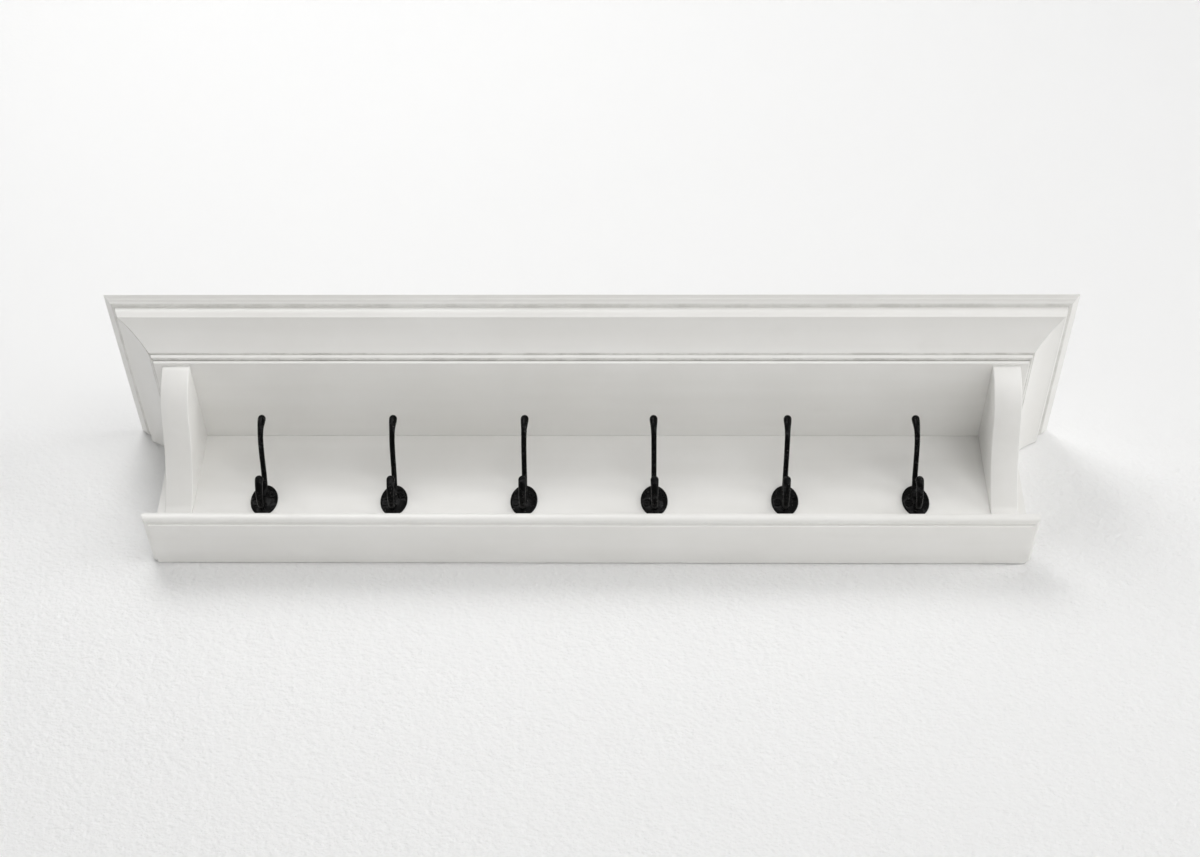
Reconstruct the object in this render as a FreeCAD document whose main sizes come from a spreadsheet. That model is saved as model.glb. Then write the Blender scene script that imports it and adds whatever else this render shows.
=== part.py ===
import FreeCAD, Part

import math
import os

import Sketcher

from FreeCAD import Placement, Rotation, Vector

# Wall shelf with a moulded crown, two curved brackets, a bottom ledge and a row of cast coat hooks.
# Millimetres. X runs along the shelf, Y into the wall with the wall face at zero, Z up.
# The origin lies on the back of the hanging rail, on the line of the wall screws.

sizes = {
    # whole shelf
    "shelf_width": 1000.0,
    "shelf_depth": 210.0,
    "bay_rise": 120.0,
    "origin_rise": 100.0,
    "overrun": 5.0,
    "joint_clearance": 0.3,
    # crown moulding section, by inset from its outer edge and drop from its top
    "crown_rise": 46.2,
    "crown_reach": 50.0,
    "crown_foot_thick": 16.0,
    "lip_rise": 1.0,
    "lip_round": 0.4,
    "band_inset": 7.6,
    "band_drop": 7.2,
    "band_step": 0.4,
    "bead_inset": 11.4,
    "bead_foot_inset": 14.0,
    "bead_foot_drop": 17.1,
    "bead_radius": 18.0,
    "bead_round": 1.8,
    "cove_foot_drop": 41.0,
    "cove_radius": 70.0,
    "foot_setback": 3.6,
    "foot_step": 1.8,
    "foot_round": 2.2,
    "foot_gap_rise": 0.5,
    "foot_gap_depth": 1.6,
    "crown_back_drop": 24.0,
    "board_inset": 22.0,
    "board_seat": 10.0,
    # boards of the crown box
    "top_board_thick": 16.0,
    "soffit_lip": 3.8,
    "soffit_thick": 12.0,
    "soffit_round": 2.4,
    "crown_rail_depth": 18.0,
    "block_depth": 14.0,
    "block_length": 50.0,
    # back panel and what stands it off the wall
    "panel_inset": 0.5,
    "panel_face": 47.0,
    "panel_thick": 18.0,
    "batten_width": 18.0,
    "hanging_rail_rise": 60.0,
    # brackets
    "bracket_thick": 28.5,
    "bracket_inset": 8.5,
    "bracket_setback": 4.0,
    "bracket_nose": 4.0,
    "bracket_toe": 1.5,
    "belly_radius": 62.0,
    "sweep_radius": 152.0,
    "bracket_ease": 1.2,
    # bottom ledge
    "ledge_overhang": 2.5,
    "ledge_depth": 61.0,
    "ledge_thick": 15.0,
    "nosing_step": 2.7,
    "nosing_proud": 6.5,
    # hooks
    "hook_rise": 45.0,
    "hook_end_room": 74.1,
    "hook_row_shift": -1.4,
    "plate_width": 28.4,
    "plate_height": 40.4,
    "plate_rim": 1.6,
    "plate_dome": 2.6,
    "rib_radius": 3.2,
    "prong_reach": 63.0,
    "prong_rise": 62.5,
    "prong_radius": 4.2,
    "stub_reach": 37.0,
    "stub_drop": 17.0,
    "stub_radius": 4.3,
    # screws
    "hook_screw_side": 7.9,
    "hook_screw_rise": 5.0,
    "hook_screw_seat": 3.2,
    "hook_screw_head": 3.5,
    "hook_screw_head_rise": 2.0,
    "hook_screw_shank": 1.5,
    "hook_screw_length": 18.0,
    "wood_screw_head": 4.0,
    "wood_screw_head_rise": 2.5,
    "wood_screw_shank": 2.0,
    "wood_screw_bite": 20.0,
    "wood_screw_counterbore": 3.0,
    "rail_screw_counterbore": 8.0,
    "rail_screw_bite": 10.0,
    "screw_clearance": 0.1,
    "screw_point": 3.0,
    # dowels
    "dowel_radius": 4.0,
    "dowel_in_ledge": 10.0,
    "dowel_in_panel": 14.0,
    # keyhole hangers
    "hanger_inset": 149.5,
    "hanger_width": 18.0,
    "hanger_straight_rise": 18.5,
    "hanger_thick": 1.5,
    "hanger_recess": 3.0,
    "hanger_end_radius": 12.0,
    "keyhole_radius": 4.5,
    "keyhole_slot_radius": 2.3,
    "keyhole_slot_rise": 12.0,
    "keyhole_pocket_margin": 2.5,
    "keyhole_pocket_depth": 12.0,
    "hanger_screw_head": 2.6,
    "hanger_screw_head_rise": 1.2,
    "hanger_screw_shank": 1.3,
    "hanger_screw_length": 14.0,
    "hanger_screw_place": 18.0,
}

# How far each hook leans, in degrees, with its top to the right when positive.
hook_leans = [-1.0, 0.1, 1.2, -0.8, 2.2, -1.2]

# Where the bracket's curve turns from belly to sweep, and where its sweep ends at the toe.
bracket_turn_reach_share = 0.634
bracket_turn_rise_share = 0.60
bracket_toe_reach_share = 0.029
bracket_toe_rise_share = 0.14

# Stations of the long prong, the short one and the plate's rib: out from the panel, up, thickness.
prong_shares = [
    (0.02, 0.06, 1.20),
    (0.06, 0.13, 0.88),
    (0.13, 0.22, 0.73),
    (0.25, 0.31, 0.68),
    (0.42, 0.38, 0.66),
    (0.62, 0.45, 0.66),
    (0.80, 0.53, 0.67),
    (0.92, 0.62, 0.68),
    (0.98, 0.71, 0.69),
    (1.00, 0.79, 0.74),
    (1.00, 0.865, 0.90),
    (1.00, 0.93, 1.00),
]
stub_shares = [
    (0.03, -0.35, 0.95),
    (0.15, -0.72, 0.84),
    (0.36, -0.95, 0.82),
    (0.60, -0.91, 0.83),
    (0.82, -0.68, 0.87),
    (0.95, -0.40, 0.94),
    (1.00, -0.12, 1.00),
]

rib_shares = [
    (0.30, 0.10, 0.80),
    (0.42, -0.10, 1.00),
    (0.45, -0.40, 1.00),
    (0.42, -0.62, 0.92),
    (0.32, -0.78, 0.70),
]

# The rings that round off a prong's free end, as shares of a quarter turn from its last station.
prong_end_shares = [5 / 18, 5 / 9, 7 / 9, 14 / 15]

# Places as shares of half the shelf's or the panel's width, or of the depth, rise or band that carries them.
crown_block_shares = [-0.72, -0.24, 0.24, 0.72]
band_step_shares = [0.42, 0.76]
return_block_share = 0.50
panel_screw_shares = [-0.76, -0.26, 0.26, 0.76]
bracket_top_screw_shares = [0.30, 0.70]
bracket_back_screw_shares = [0.40, 0.83]
rail_screw_shares = [-0.84, -0.28, 0.28, 0.84]
ledge_dowel_shares = [-0.88, -0.44, 0.0, 0.44, 0.88]
nosing_round_share = 0.48
plate_dome_shares = [(0.97, 0.35), (0.88, 0.62), (0.70, 0.84), (0.40, 1.0)]

doc = FreeCAD.newDocument("CoatShelf")
sheet = doc.addObject("Spreadsheet::Sheet", "Sizes")


class Size:
    # A length together with the spreadsheet formula that gives it.

    def __init__(self, value, formula):
        self.value = value
        self.formula = formula

    def __add__(self, other):
        other = as_size(other)
        return Size(self.value + other.value, f"({self.formula} + {other.formula})")

    def __sub__(self, other):
        other = as_size(other)
        return Size(self.value - other.value, f"({self.formula} - {other.formula})")

    def __mul__(self, other):
        other = as_size(other)
        return Size(self.value * other.value, f"({self.formula} * {other.formula})")

    def __truediv__(self, other):
        other = as_size(other)
        return Size(self.value / other.value, f"({self.formula} / {other.formula})")

    def __neg__(self):
        return Size(-self.value, f"(0 - {self.formula})")


def as_size(value):
    if isinstance(value, Size):
        return value
    return Size(value, f"({value})")


def fill_sheet():
    # One row for each driving size, then one for each hook's lean.
    rows = dict(sizes)
    for number, lean in enumerate(hook_leans, 1):
        rows[f"hook_lean_{number}"] = lean
    for row, (name, value) in enumerate(rows.items(), 1):
        sheet.set(f"A{row}", name)
        sheet.set(f"B{row}", str(value))
        sheet.setAlias(f"B{row}", name)
    doc.recompute()
    return {name: Size(float(sheet.get(name)), f"Sizes.{name}") for name in rows}


size = fill_sheet()
zero = as_size(0)

# Heights over the underside of the ledge.
ledge_top = size["ledge_thick"]
soffit_level = ledge_top + size["bay_rise"]
soffit_top = soffit_level + size["soffit_thick"]
shelf_level = soffit_level + size["soffit_lip"] + size["crown_rise"]

# Places along the shelf and out from the wall that several pieces share.
half_width = size["shelf_width"] / 2
crown_stock = size["crown_reach"] + size["crown_foot_thick"]
soffit_half = half_width - size["crown_reach"]
soffit_front = size["shelf_depth"] - size["crown_reach"]
panel_half = soffit_half - size["panel_inset"]
ledge_half = panel_half + size["ledge_overhang"]
bay_half = panel_half - size["bracket_inset"] - size["bracket_thick"]
bracket_middle = bay_half + size["bracket_thick"] / 2
bracket_reach = soffit_front - size["bracket_setback"] - size["panel_face"]
wall_gap = size["panel_face"] - size["panel_thick"]
panel_middle = size["panel_face"] - size["panel_thick"] / 2


def bind(thing, name, value):
    thing.setExpression(name, as_size(value).formula)


def place(thing, label, x, y, level):
    # Level is counted from the underside of the ledge.
    thing.Label = label
    bind(thing, "Placement.Base.x", x)
    bind(thing, "Placement.Base.y", y)
    bind(thing, "Placement.Base.z", level - size["origin_rise"])


def new_body(label, x, y, level):
    body = doc.addObject("PartDesign::Body", label)
    place(body, label, x, y, level)
    return body


def new_sketch(body, name, plane, offset=zero):
    # Offset is measured along the plane's normal: up, to the front or to the right.
    sketch = body.newObject("Sketcher::SketchObject", f"{body.Name}_{name}")
    support = next(item for item in body.Origin.OriginFeatures if item.Role == plane)
    sketch.AttachmentSupport = [(support, "")]
    sketch.MapMode = "FlatFace"
    bind(sketch, "AttachmentOffset.Base.z", offset)
    return sketch


def pin_point(sketch, edge, end, x, y):
    # Ties an end of a line or the centre of a circle to its place.
    for kind, value in (("DistanceX", x), ("DistanceY", y)):
        number = sketch.addConstraint(Sketcher.Constraint(kind, -1, 1, edge, end, value.value))
        bind(sketch, f"Constraints[{number}]", value)


def add_arc(sketch, start, end, radius, side):
    # Side is 1 when the centre lies to the left of the way from start to end, and -1 to the right.
    chord = end - start
    reach = math.sqrt(radius.value ** 2 - (chord.Length / 2) ** 2)
    across = Vector(-chord.y, chord.x, 0).normalize()
    centre = start + chord / 2 + across * reach * side
    first, last = (start, end) if side > 0 else (end, start)
    angles = [math.atan2(point.y - centre.y, point.x - centre.x) for point in (first, last)]
    circle = Part.Circle(centre, Vector(0, 0, 1), radius.value)
    edge = sketch.addGeometry(Part.ArcOfCircle(circle, angles[0], angles[1]), False)
    number = sketch.addConstraint(Sketcher.Constraint("Radius", edge, radius.value))
    bind(sketch, f"Constraints[{number}]", radius)
    return edge, (1, 2) if side > 0 else (2, 1)


def add_outline(sketch, corners):
    # A closed outline. A corner is (x, y), or (x, y, radius, side) where an arc leads on from it.
    corners = [tuple(as_size(value) for value in corner[:3]) + tuple(corner[3:]) for corner in corners]
    points = [Vector(corner[0].value, corner[1].value, 0) for corner in corners]
    edges = []
    for index, corner in enumerate(corners):
        start = points[index]
        end = points[(index + 1) % len(points)]
        if len(corner) > 2:
            edges.append(add_arc(sketch, start, end, corner[2], corner[3]))
        else:
            edges.append((sketch.addGeometry(Part.LineSegment(start, end), False), (1, 2)))
    for index, (edge, ends) in enumerate(edges):
        before, before_ends = edges[index - 1]
        sketch.addConstraint(Sketcher.Constraint("Coincident", before, before_ends[1], edge, ends[0]))
        pin_point(sketch, edge, ends[0], corners[index][0], corners[index][1])


def add_rectangle(sketch, left, bottom, right, top):
    add_outline(sketch, [(left, bottom), (right, bottom), (right, top), (left, top)])


def add_circle(sketch, x, y, radius):
    x, y = as_size(x), as_size(y)
    circle = Part.Circle(Vector(x.value, y.value, 0), Vector(0, 0, 1), radius.value)
    edge = sketch.addGeometry(circle, False)
    number = sketch.addConstraint(Sketcher.Constraint("Radius", edge, radius.value))
    bind(sketch, f"Constraints[{number}]", radius)
    pin_point(sketch, edge, 3, x, y)


def add_pad(body, sketch, length, side="One side", turned=False):
    pad = body.newObject("PartDesign::Pad", f"{sketch.Name}_pad")
    pad.Profile = sketch
    pad.SideType = side
    pad.Reversed = turned
    bind(pad, "Length", length)
    doc.recompute()
    return pad


def add_pocket(body, sketch, depth=None, turned=False):
    # Cuts against the plane's normal, or along it when turned. No depth cuts right through.
    before = body.Shape.Volume
    pocket = body.newObject("PartDesign::Pocket", f"{sketch.Name}_pocket")
    pocket.Profile = sketch
    pocket.Reversed = turned
    if depth is None:
        pocket.Type = "ThroughAll"
    else:
        bind(pocket, "Length", depth)
    doc.recompute()
    if not body.Shape.Volume < before:
        raise RuntimeError(f"{pocket.Name} cuts nothing")
    return pocket


def add_fillet(body, radius, chosen):
    # Rounds the edges whose middle point passes the test.
    feature = body.Tip
    names = []
    for number, edge in enumerate(feature.Shape.Edges, 1):
        middle = edge.valueAt((edge.FirstParameter + edge.LastParameter) / 2)
        if chosen(middle, edge):
            names.append(f"Edge{number}")
    fillet = body.newObject("PartDesign::Fillet", f"{body.Name}_fillet")
    fillet.Base = (feature, names)
    bind(fillet, "Radius", radius)
    doc.recompute()
    return fillet


def new_box(name, corner, extent):
    # Corner is given over the underside of the ledge, like a place.
    box = doc.addObject("Part::Box", name)
    for side, value in zip(("Length", "Width", "Height"), extent):
        bind(box, side, value)
    place(box, name, *corner)
    return box


def new_group(label, pieces):
    group = doc.addObject("Part::Compound", label)
    group.Links = pieces
    group.Label = label
    return group


def near(first, second):
    return abs(first - second) < size["screw_clearance"].value


# Crown

def crown_section(outer, sign):
    # Runs down the moulded face from the top outer corner, then back up behind it.
    # Outer is the place of the outer edge. Sign is 1 where inset counts up from it, and -1 where down.
    def at(inset, drop, *arc):
        bend = (arc[0], arc[1] * sign) if arc else ()
        return (outer + inset * sign, -as_size(drop)) + bend

    corners = [
        at(zero, zero),
        at(zero, size["lip_rise"] - size["lip_round"], size["lip_round"], 1),
        at(size["lip_round"], size["lip_rise"]),
    ]
    for share in band_step_shares:
        inset = size["band_inset"] * share
        drop = size["lip_rise"] + (size["band_drop"] - size["lip_rise"]) * share
        corners += [at(inset, drop - size["band_step"]), at(inset, drop)]
    bead_foot = size["bead_foot_drop"]
    bead_under = bead_foot + size["bead_round"]
    foot = size["crown_reach"] - size["foot_setback"]
    soffit_gap = size["crown_rise"] - size["foot_gap_rise"]
    contact = size["crown_reach"] + size["foot_gap_depth"]
    seat = size["board_inset"] + size["board_seat"]
    return corners + [
        at(size["band_inset"], size["band_drop"]),
        at(size["bead_inset"], size["band_drop"], size["bead_radius"], 1),
        at(size["bead_foot_inset"], bead_foot, size["bead_round"], 1),
        at(size["bead_foot_inset"] + size["bead_round"], bead_under, size["cove_radius"], -1),
        at(foot - size["foot_step"], size["cove_foot_drop"]),
        at(foot, size["cove_foot_drop"]),
        at(foot, soffit_gap - size["foot_round"], size["foot_round"], 1),
        at(foot + size["foot_round"], soffit_gap),
        at(contact, soffit_gap),
        at(contact, size["crown_rise"]),
        at(crown_stock, size["crown_rise"]),
        at(crown_stock, size["crown_back_drop"]),
        at(seat, size["top_board_thick"]),
        at(size["board_inset"], size["top_board_thick"]),
        at(size["board_inset"], zero),
    ]


def mitre_corners(side, third_x, third_y):
    # The two ends of a mitre line seen from above, run out past the stock, and a third corner.
    outside = size["overrun"]
    inside = crown_stock + size["overrun"]
    front = -size["shelf_depth"]
    return [
        ((half_width + outside) * side, front - outside),
        (third_x * side, third_y),
        ((half_width - inside) * side, front + inside),
    ]


def make_crown_front():
    body = new_body("crown_front", zero, zero, shelf_level)
    section = new_sketch(body, "section", "YZ_Plane")
    add_outline(section, crown_section(-size["shelf_depth"], 1))
    add_pad(body, section, size["shelf_width"], side="Symmetric")
    mitres = new_sketch(body, "mitres", "XY_Plane", size["overrun"])
    behind = crown_stock + size["overrun"] - size["shelf_depth"]
    for side in (-1, 1):
        add_outline(mitres, mitre_corners(side, half_width + size["overrun"], behind))
    add_pocket(body, mitres)


def make_crown_return(label, side):
    body = new_body(label, zero, zero, shelf_level)
    section = new_sketch(body, "section", "XZ_Plane")
    add_outline(section, crown_section(half_width * side, -side))
    add_pad(body, section, size["shelf_depth"])
    mitre = new_sketch(body, "mitre", "XY_Plane", size["overrun"])
    inner = half_width - crown_stock - size["overrun"]
    ahead = -size["shelf_depth"] - size["overrun"]
    add_outline(mitre, mitre_corners(side, inner, ahead))
    add_pocket(body, mitre)


def make_top_board():
    body = new_body("top_board", zero, zero, shelf_level - size["top_board_thick"])
    outline = new_sketch(body, "outline", "XY_Plane")
    half = half_width - size["board_inset"]
    add_rectangle(outline, -half, size["board_inset"] - size["shelf_depth"], half, zero)
    add_pad(body, outline, size["top_board_thick"])


def make_soffit_board():
    # The lip runs out under the crown's foot. The thicker middle stands up inside it.
    body = new_body("soffit_board", zero, zero, soffit_level)
    outline = new_sketch(body, "lip", "XY_Plane")
    add_rectangle(outline, -soffit_half, -soffit_front, soffit_half, zero)
    add_pad(body, outline, size["soffit_lip"])
    middle = new_sketch(body, "middle", "XY_Plane", size["soffit_lip"])
    inset = crown_stock + size["joint_clearance"]
    add_rectangle(middle, inset - half_width, inset - size["shelf_depth"], half_width - inset, zero)
    add_pad(body, middle, size["soffit_thick"] - size["soffit_lip"])

    def on_lower_arris(point, edge):
        outside = near(point.y, -soffit_front.value) or near(abs(point.x), soffit_half.value)
        return near(point.z, 0) and outside

    add_fillet(body, size["soffit_round"], on_lower_arris)
    heads = new_sketch(body, "screw_heads", "XY_Plane", size["soffit_thick"])
    shanks = new_sketch(body, "screw_shanks", "XY_Plane", size["soffit_thick"])
    for x, y in soffit_screw_places():
        add_circle(heads, x, y, size["wood_screw_head"] + size["screw_clearance"])
        add_circle(shanks, x, y, size["wood_screw_shank"] + size["screw_clearance"])
    add_pocket(body, heads, size["wood_screw_counterbore"])
    add_pocket(body, shanks)


def make_crown_blocks():
    # Glue blocks in the corner between the soffit board and the back of the moulding.
    rise = shelf_level - size["crown_back_drop"] - soffit_top
    depth, length = size["block_depth"], size["block_length"]
    front = crown_stock - size["shelf_depth"]
    blocks = []
    for number, share in enumerate(crown_block_shares, 1):
        corner = (half_width * share - length / 2, front, soffit_top)
        blocks.append(new_box(f"crown_block_{number}", corner, (length, depth, rise)))
    inner = half_width - crown_stock
    for name, x in (("left", -inner), ("right", inner - depth)):
        corner = (x, -size["shelf_depth"] * return_block_share, soffit_top)
        blocks.append(new_box(f"crown_block_{name}", corner, (depth, length, rise)))
    new_group("crown_blocks", blocks)


def make_crown_back_rail():
    half = half_width - crown_stock - size["joint_clearance"]
    rise = shelf_level - size["top_board_thick"] - soffit_top
    corner = (-half, -size["crown_rail_depth"], soffit_top)
    new_box("crown_back_rail", corner, (half * 2, size["crown_rail_depth"], rise))


# Back panel, battens and hanging rail

def make_back_panel():
    body = new_body("back_panel", zero, -wall_gap, ledge_top)
    face = new_sketch(body, "face", "XZ_Plane")
    add_rectangle(face, -panel_half, zero, panel_half, size["bay_rise"])
    add_pad(body, face, size["panel_thick"])

    pilots = new_sketch(body, "hook_pilots", "XZ_Plane", size["panel_thick"])
    radius = size["hook_screw_shank"] + size["screw_clearance"]
    for x, level in hook_screw_places():
        add_circle(pilots, x, level - ledge_top, radius)
    bite = size["hook_screw_length"] - size["hook_screw_seat"] + size["screw_clearance"]
    add_pocket(body, pilots, bite)

    shank = size["wood_screw_shank"] + size["screw_clearance"]
    head = size["wood_screw_head"] + size["screw_clearance"]
    heads = new_sketch(body, "bracket_screw_heads", "XZ_Plane")
    shanks = new_sketch(body, "bracket_screw_shanks", "XZ_Plane")
    for x, rise in bracket_screw_places():
        add_circle(heads, x, rise, head)
        add_circle(shanks, x, rise, shank)
    add_pocket(body, heads, size["wood_screw_counterbore"], turned=True)
    add_pocket(body, shanks, turned=True)

    rail_pilots = new_sketch(body, "rail_screw_pilots", "XZ_Plane")
    for x in rail_screw_places():
        add_circle(rail_pilots, x, size["origin_rise"] - ledge_top, shank)
    add_pocket(body, rail_pilots, size["rail_screw_bite"] + size["screw_clearance"], turned=True)

    top_pilots = new_sketch(body, "top_pilots", "XY_Plane", size["bay_rise"])
    for x in panel_screw_places():
        add_circle(top_pilots, x, wall_gap - panel_middle, shank)
    add_pocket(body, top_pilots, size["wood_screw_bite"] + size["screw_clearance"])

    dowels = new_sketch(body, "dowel_holes", "XY_Plane")
    for x in ledge_dowel_places():
        add_circle(dowels, x, wall_gap - panel_middle, size["dowel_radius"] + size["screw_clearance"])
    add_pocket(body, dowels, size["dowel_in_panel"] + size["screw_clearance"], turned=True)


def make_end_battens():
    extent = (size["batten_width"], wall_gap, size["bay_rise"])
    new_box("left_end_batten", (-panel_half, -wall_gap, ledge_top), extent)
    new_box("right_end_batten", (panel_half - size["batten_width"], -wall_gap, ledge_top), extent)


def make_hanging_rail():
    body = new_body("hanging_rail", zero, zero, size["origin_rise"])
    face = new_sketch(body, "face", "XZ_Plane")
    half = panel_half - size["batten_width"] - size["joint_clearance"]
    rise = size["hanging_rail_rise"] / 2
    add_rectangle(face, -half, -rise, half, rise)
    add_pad(body, face, wall_gap)

    recess = new_sketch(body, "hanger_recess", "XZ_Plane")
    pocket = new_sketch(body, "keyhole_pocket", "XZ_Plane")
    pilots = new_sketch(body, "hanger_pilots", "XZ_Plane")
    margin = size["keyhole_radius"] + size["keyhole_pocket_margin"]
    lowest = -size["keyhole_slot_rise"] / 2 - margin
    for x in hanger_places():
        add_outline(recess, hanger_outline(x, size["joint_clearance"]))
        add_rectangle(pocket, x - margin, lowest, x + margin, -lowest)
    for x, up in hanger_screw_places():
        add_circle(pilots, x, up, size["hanger_screw_shank"] + size["screw_clearance"])
    add_pocket(body, recess, size["hanger_recess"], turned=True)
    add_pocket(body, pocket, size["keyhole_pocket_depth"], turned=True)
    deep = size["hanger_recess"] - size["hanger_thick"] + size["hanger_screw_length"]
    add_pocket(body, pilots, deep + size["screw_clearance"], turned=True)

    heads = new_sketch(body, "rail_screw_heads", "XZ_Plane")
    shanks = new_sketch(body, "rail_screw_shanks", "XZ_Plane")
    for x in rail_screw_places():
        add_circle(heads, x, zero, size["wood_screw_head"] + size["screw_clearance"])
        add_circle(shanks, x, zero, size["wood_screw_shank"] + size["screw_clearance"])
    add_pocket(body, heads, size["rail_screw_counterbore"], turned=True)
    add_pocket(body, shanks, turned=True)


def hanger_places():
    return [(panel_half - size["hanger_inset"]) * side for side in (-1, 1)]


def hanger_screw_places():
    # Across the rail and up from its middle, one above and one below each keyhole.
    ups = [size["hanger_screw_place"] * side for side in (-1, 1)]
    return [(x, up) for x in hanger_places() for up in ups]


def hanger_outline(x, margin):
    # A strip with bowed ends, drawn upright about x, wider by the margin all round.
    half = size["hanger_width"] / 2 + margin
    rise = size["hanger_straight_rise"] + margin
    bow = size["hanger_end_radius"]
    return [(x + half, -rise), (x + half, rise, bow, 1), (x - half, rise), (x - half, -rise, bow, 1)]


def make_hanger_plates():
    outer = size["hanger_recess"] - size["hanger_thick"]
    body = new_body("hanger_plates", zero, -outer, size["origin_rise"])
    face = new_sketch(body, "face", "XZ_Plane")
    entry = new_sketch(body, "keyhole_entry", "XZ_Plane")
    slot = new_sketch(body, "keyhole_slot", "XZ_Plane")
    slot_end = new_sketch(body, "keyhole_slot_end", "XZ_Plane")
    holes = new_sketch(body, "screw_holes", "XZ_Plane")
    low = -size["keyhole_slot_rise"] / 2
    narrow = size["keyhole_slot_radius"]
    for x in hanger_places():
        add_outline(face, hanger_outline(x, zero))
        add_circle(entry, x, low, size["keyhole_radius"])
        add_rectangle(slot, x - narrow, low, x + narrow, -low)
        add_circle(slot_end, x, -low, narrow)
    for x, up in hanger_screw_places():
        add_circle(holes, x, up, size["hanger_screw_shank"] + size["screw_clearance"])
    add_pad(body, face, size["hanger_thick"])
    for sketch in (entry, slot, slot_end, holes):
        add_pocket(body, sketch, turned=True)


# Brackets

def make_bracket(label, side):
    body = new_body(label, bracket_middle * side, -size["panel_face"], ledge_top)
    profile = new_sketch(body, "profile", "YZ_Plane")
    reach, rise = bracket_reach, size["bay_rise"]
    turn = (-reach * bracket_turn_reach_share, rise * bracket_turn_rise_share)
    toe = (-reach * bracket_toe_reach_share, rise * bracket_toe_rise_share)
    add_outline(profile, [
        (zero, rise),
        (-reach, rise),
        (-reach, rise - size["bracket_nose"], size["belly_radius"], 1),
        turn + (size["sweep_radius"], -1),
        toe,
        (-size["bracket_toe"], zero),
        (zero, zero),
    ])
    add_pad(body, profile, size["bracket_thick"], side="Symmetric")

    def on_front_arris(point, edge):
        # The long edges of the nose, belly and sweep, on both cheeks.
        on_cheek = near(abs(point.x), size["bracket_thick"].value / 2)
        return on_cheek and edge.Length > size["bracket_nose"].value * 2 and is_curved(edge)

    add_fillet(body, size["bracket_ease"], on_front_arris)
    shank = size["wood_screw_shank"] + size["screw_clearance"]
    bite = size["wood_screw_bite"] + size["screw_clearance"]
    back_pilots = new_sketch(body, "back_pilots", "XZ_Plane")
    for share in bracket_back_screw_shares:
        add_circle(back_pilots, zero, rise * share, shank)
    add_pocket(body, back_pilots, bite, turned=True)
    top_pilots = new_sketch(body, "top_pilots", "XY_Plane", rise)
    for share in bracket_top_screw_shares:
        add_circle(top_pilots, zero, -reach * share, shank)
    add_pocket(body, top_pilots, bite)


def is_curved(edge):
    return isinstance(edge.Curve, Part.Circle)


# Bottom ledge

def make_bottom_ledge():
    # A thin step below, and over it a board whose front and ends are rounded to a full nosing.
    body = new_body("bottom_ledge", zero, zero, zero)
    step = new_sketch(body, "step", "XY_Plane")
    add_rectangle(step, -ledge_half, -size["ledge_depth"], ledge_half, zero)
    add_pad(body, step, size["nosing_step"])
    board = new_sketch(body, "board", "XY_Plane", size["nosing_step"])
    wide = ledge_half + size["nosing_proud"]
    front = -size["ledge_depth"] - size["nosing_proud"]
    add_rectangle(board, -wide, front, wide, zero)
    nosing = size["ledge_thick"] - size["nosing_step"]
    add_pad(body, board, nosing)

    def on_nosing(point, edge):
        outside = near(point.y, front.value) or near(abs(point.x), wide.value)
        level = near(point.z, size["nosing_step"].value) or near(point.z, size["ledge_thick"].value)
        return outside and level

    add_fillet(body, nosing * nosing_round_share, on_nosing)
    dowels = new_sketch(body, "dowel_holes", "XY_Plane", size["ledge_thick"])
    for x in ledge_dowel_places():
        add_circle(dowels, x, -panel_middle, size["dowel_radius"] + size["screw_clearance"])
    add_pocket(body, dowels, size["dowel_in_ledge"] + size["screw_clearance"])


def ledge_dowel_places():
    return [panel_half * share for share in ledge_dowel_shares]


def make_ledge_dowels():
    dowels = []
    for number, x in enumerate(ledge_dowel_places(), 1):
        dowel = doc.addObject("Part::Cylinder", f"ledge_dowel_{number}")
        bind(dowel, "Radius", size["dowel_radius"])
        bind(dowel, "Height", size["dowel_in_ledge"] + size["dowel_in_panel"])
        place(dowel, dowel.Name, x, -panel_middle, ledge_top - size["dowel_in_ledge"])
        dowels.append(dowel)
    new_group("ledge_dowels", dowels)


# Hooks

def hook_places():
    # The middle of each hook's plate along the shelf, with its lean.
    gaps = len(hook_leans) - 1
    spacing = (bay_half - size["hook_end_room"]) * 2 / gaps
    places = []
    for index in range(len(hook_leans)):
        x = size["hook_row_shift"] + spacing * (index - gaps / 2)
        places.append((x, size[f"hook_lean_{index + 1}"]))
    return places


def hook_screw_places():
    # Two screws to a plate, low on the left and high on the right, turned with its lean.
    places = []
    for x, lean in hook_places():
        sine = Size(math.sin(math.radians(lean.value)), f"sin({lean.formula} * 1 deg)")
        cosine = Size(math.cos(math.radians(lean.value)), f"cos({lean.formula} * 1 deg)")
        for side in (-1, 1):
            across, up = size["hook_screw_side"] * side, size["hook_screw_rise"] * side
            level = size["hook_rise"] - across * sine + up * cosine
            places.append((x + across * cosine + up * sine, level))
    return places


def ellipse_wire(out, across, up):
    # An upright oval facing the front, this far out from the panel.
    major = Vector(0, -out, up)
    minor = Vector(across, -out, 0)
    return Part.Wire([Part.Ellipse(major, minor, Vector(0, -out, 0)).toShape()])


def prong_shape(stations):
    # A round bar through stations of (out, up, radius), with a rounded free end.
    centres = [Vector(0, -out, up) for out, up, radius in stations]
    rings = []
    for index, (out, up, radius) in enumerate(stations):
        before = centres[max(index - 1, 0)]
        after = centres[min(index + 1, len(centres) - 1)]
        along = (after - before).normalize()
        rings.append(prong_ring(centres[index], along, radius))
    for share in prong_end_shares:
        turn = math.pi / 2 * share
        centre = centres[-1] + along * radius * math.sin(turn)
        rings.append(prong_ring(centre, along, radius * math.cos(turn)))
    return Part.makeLoft(rings, True, True)


def prong_ring(centre, along, radius):
    ring = Part.makeCircle(radius)
    sideways = Vector(1, 0, 0)
    ring.Placement = Placement(centre, Rotation(sideways, along.cross(sideways), along, "ZXY"))
    return Part.Wire([ring])


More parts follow.
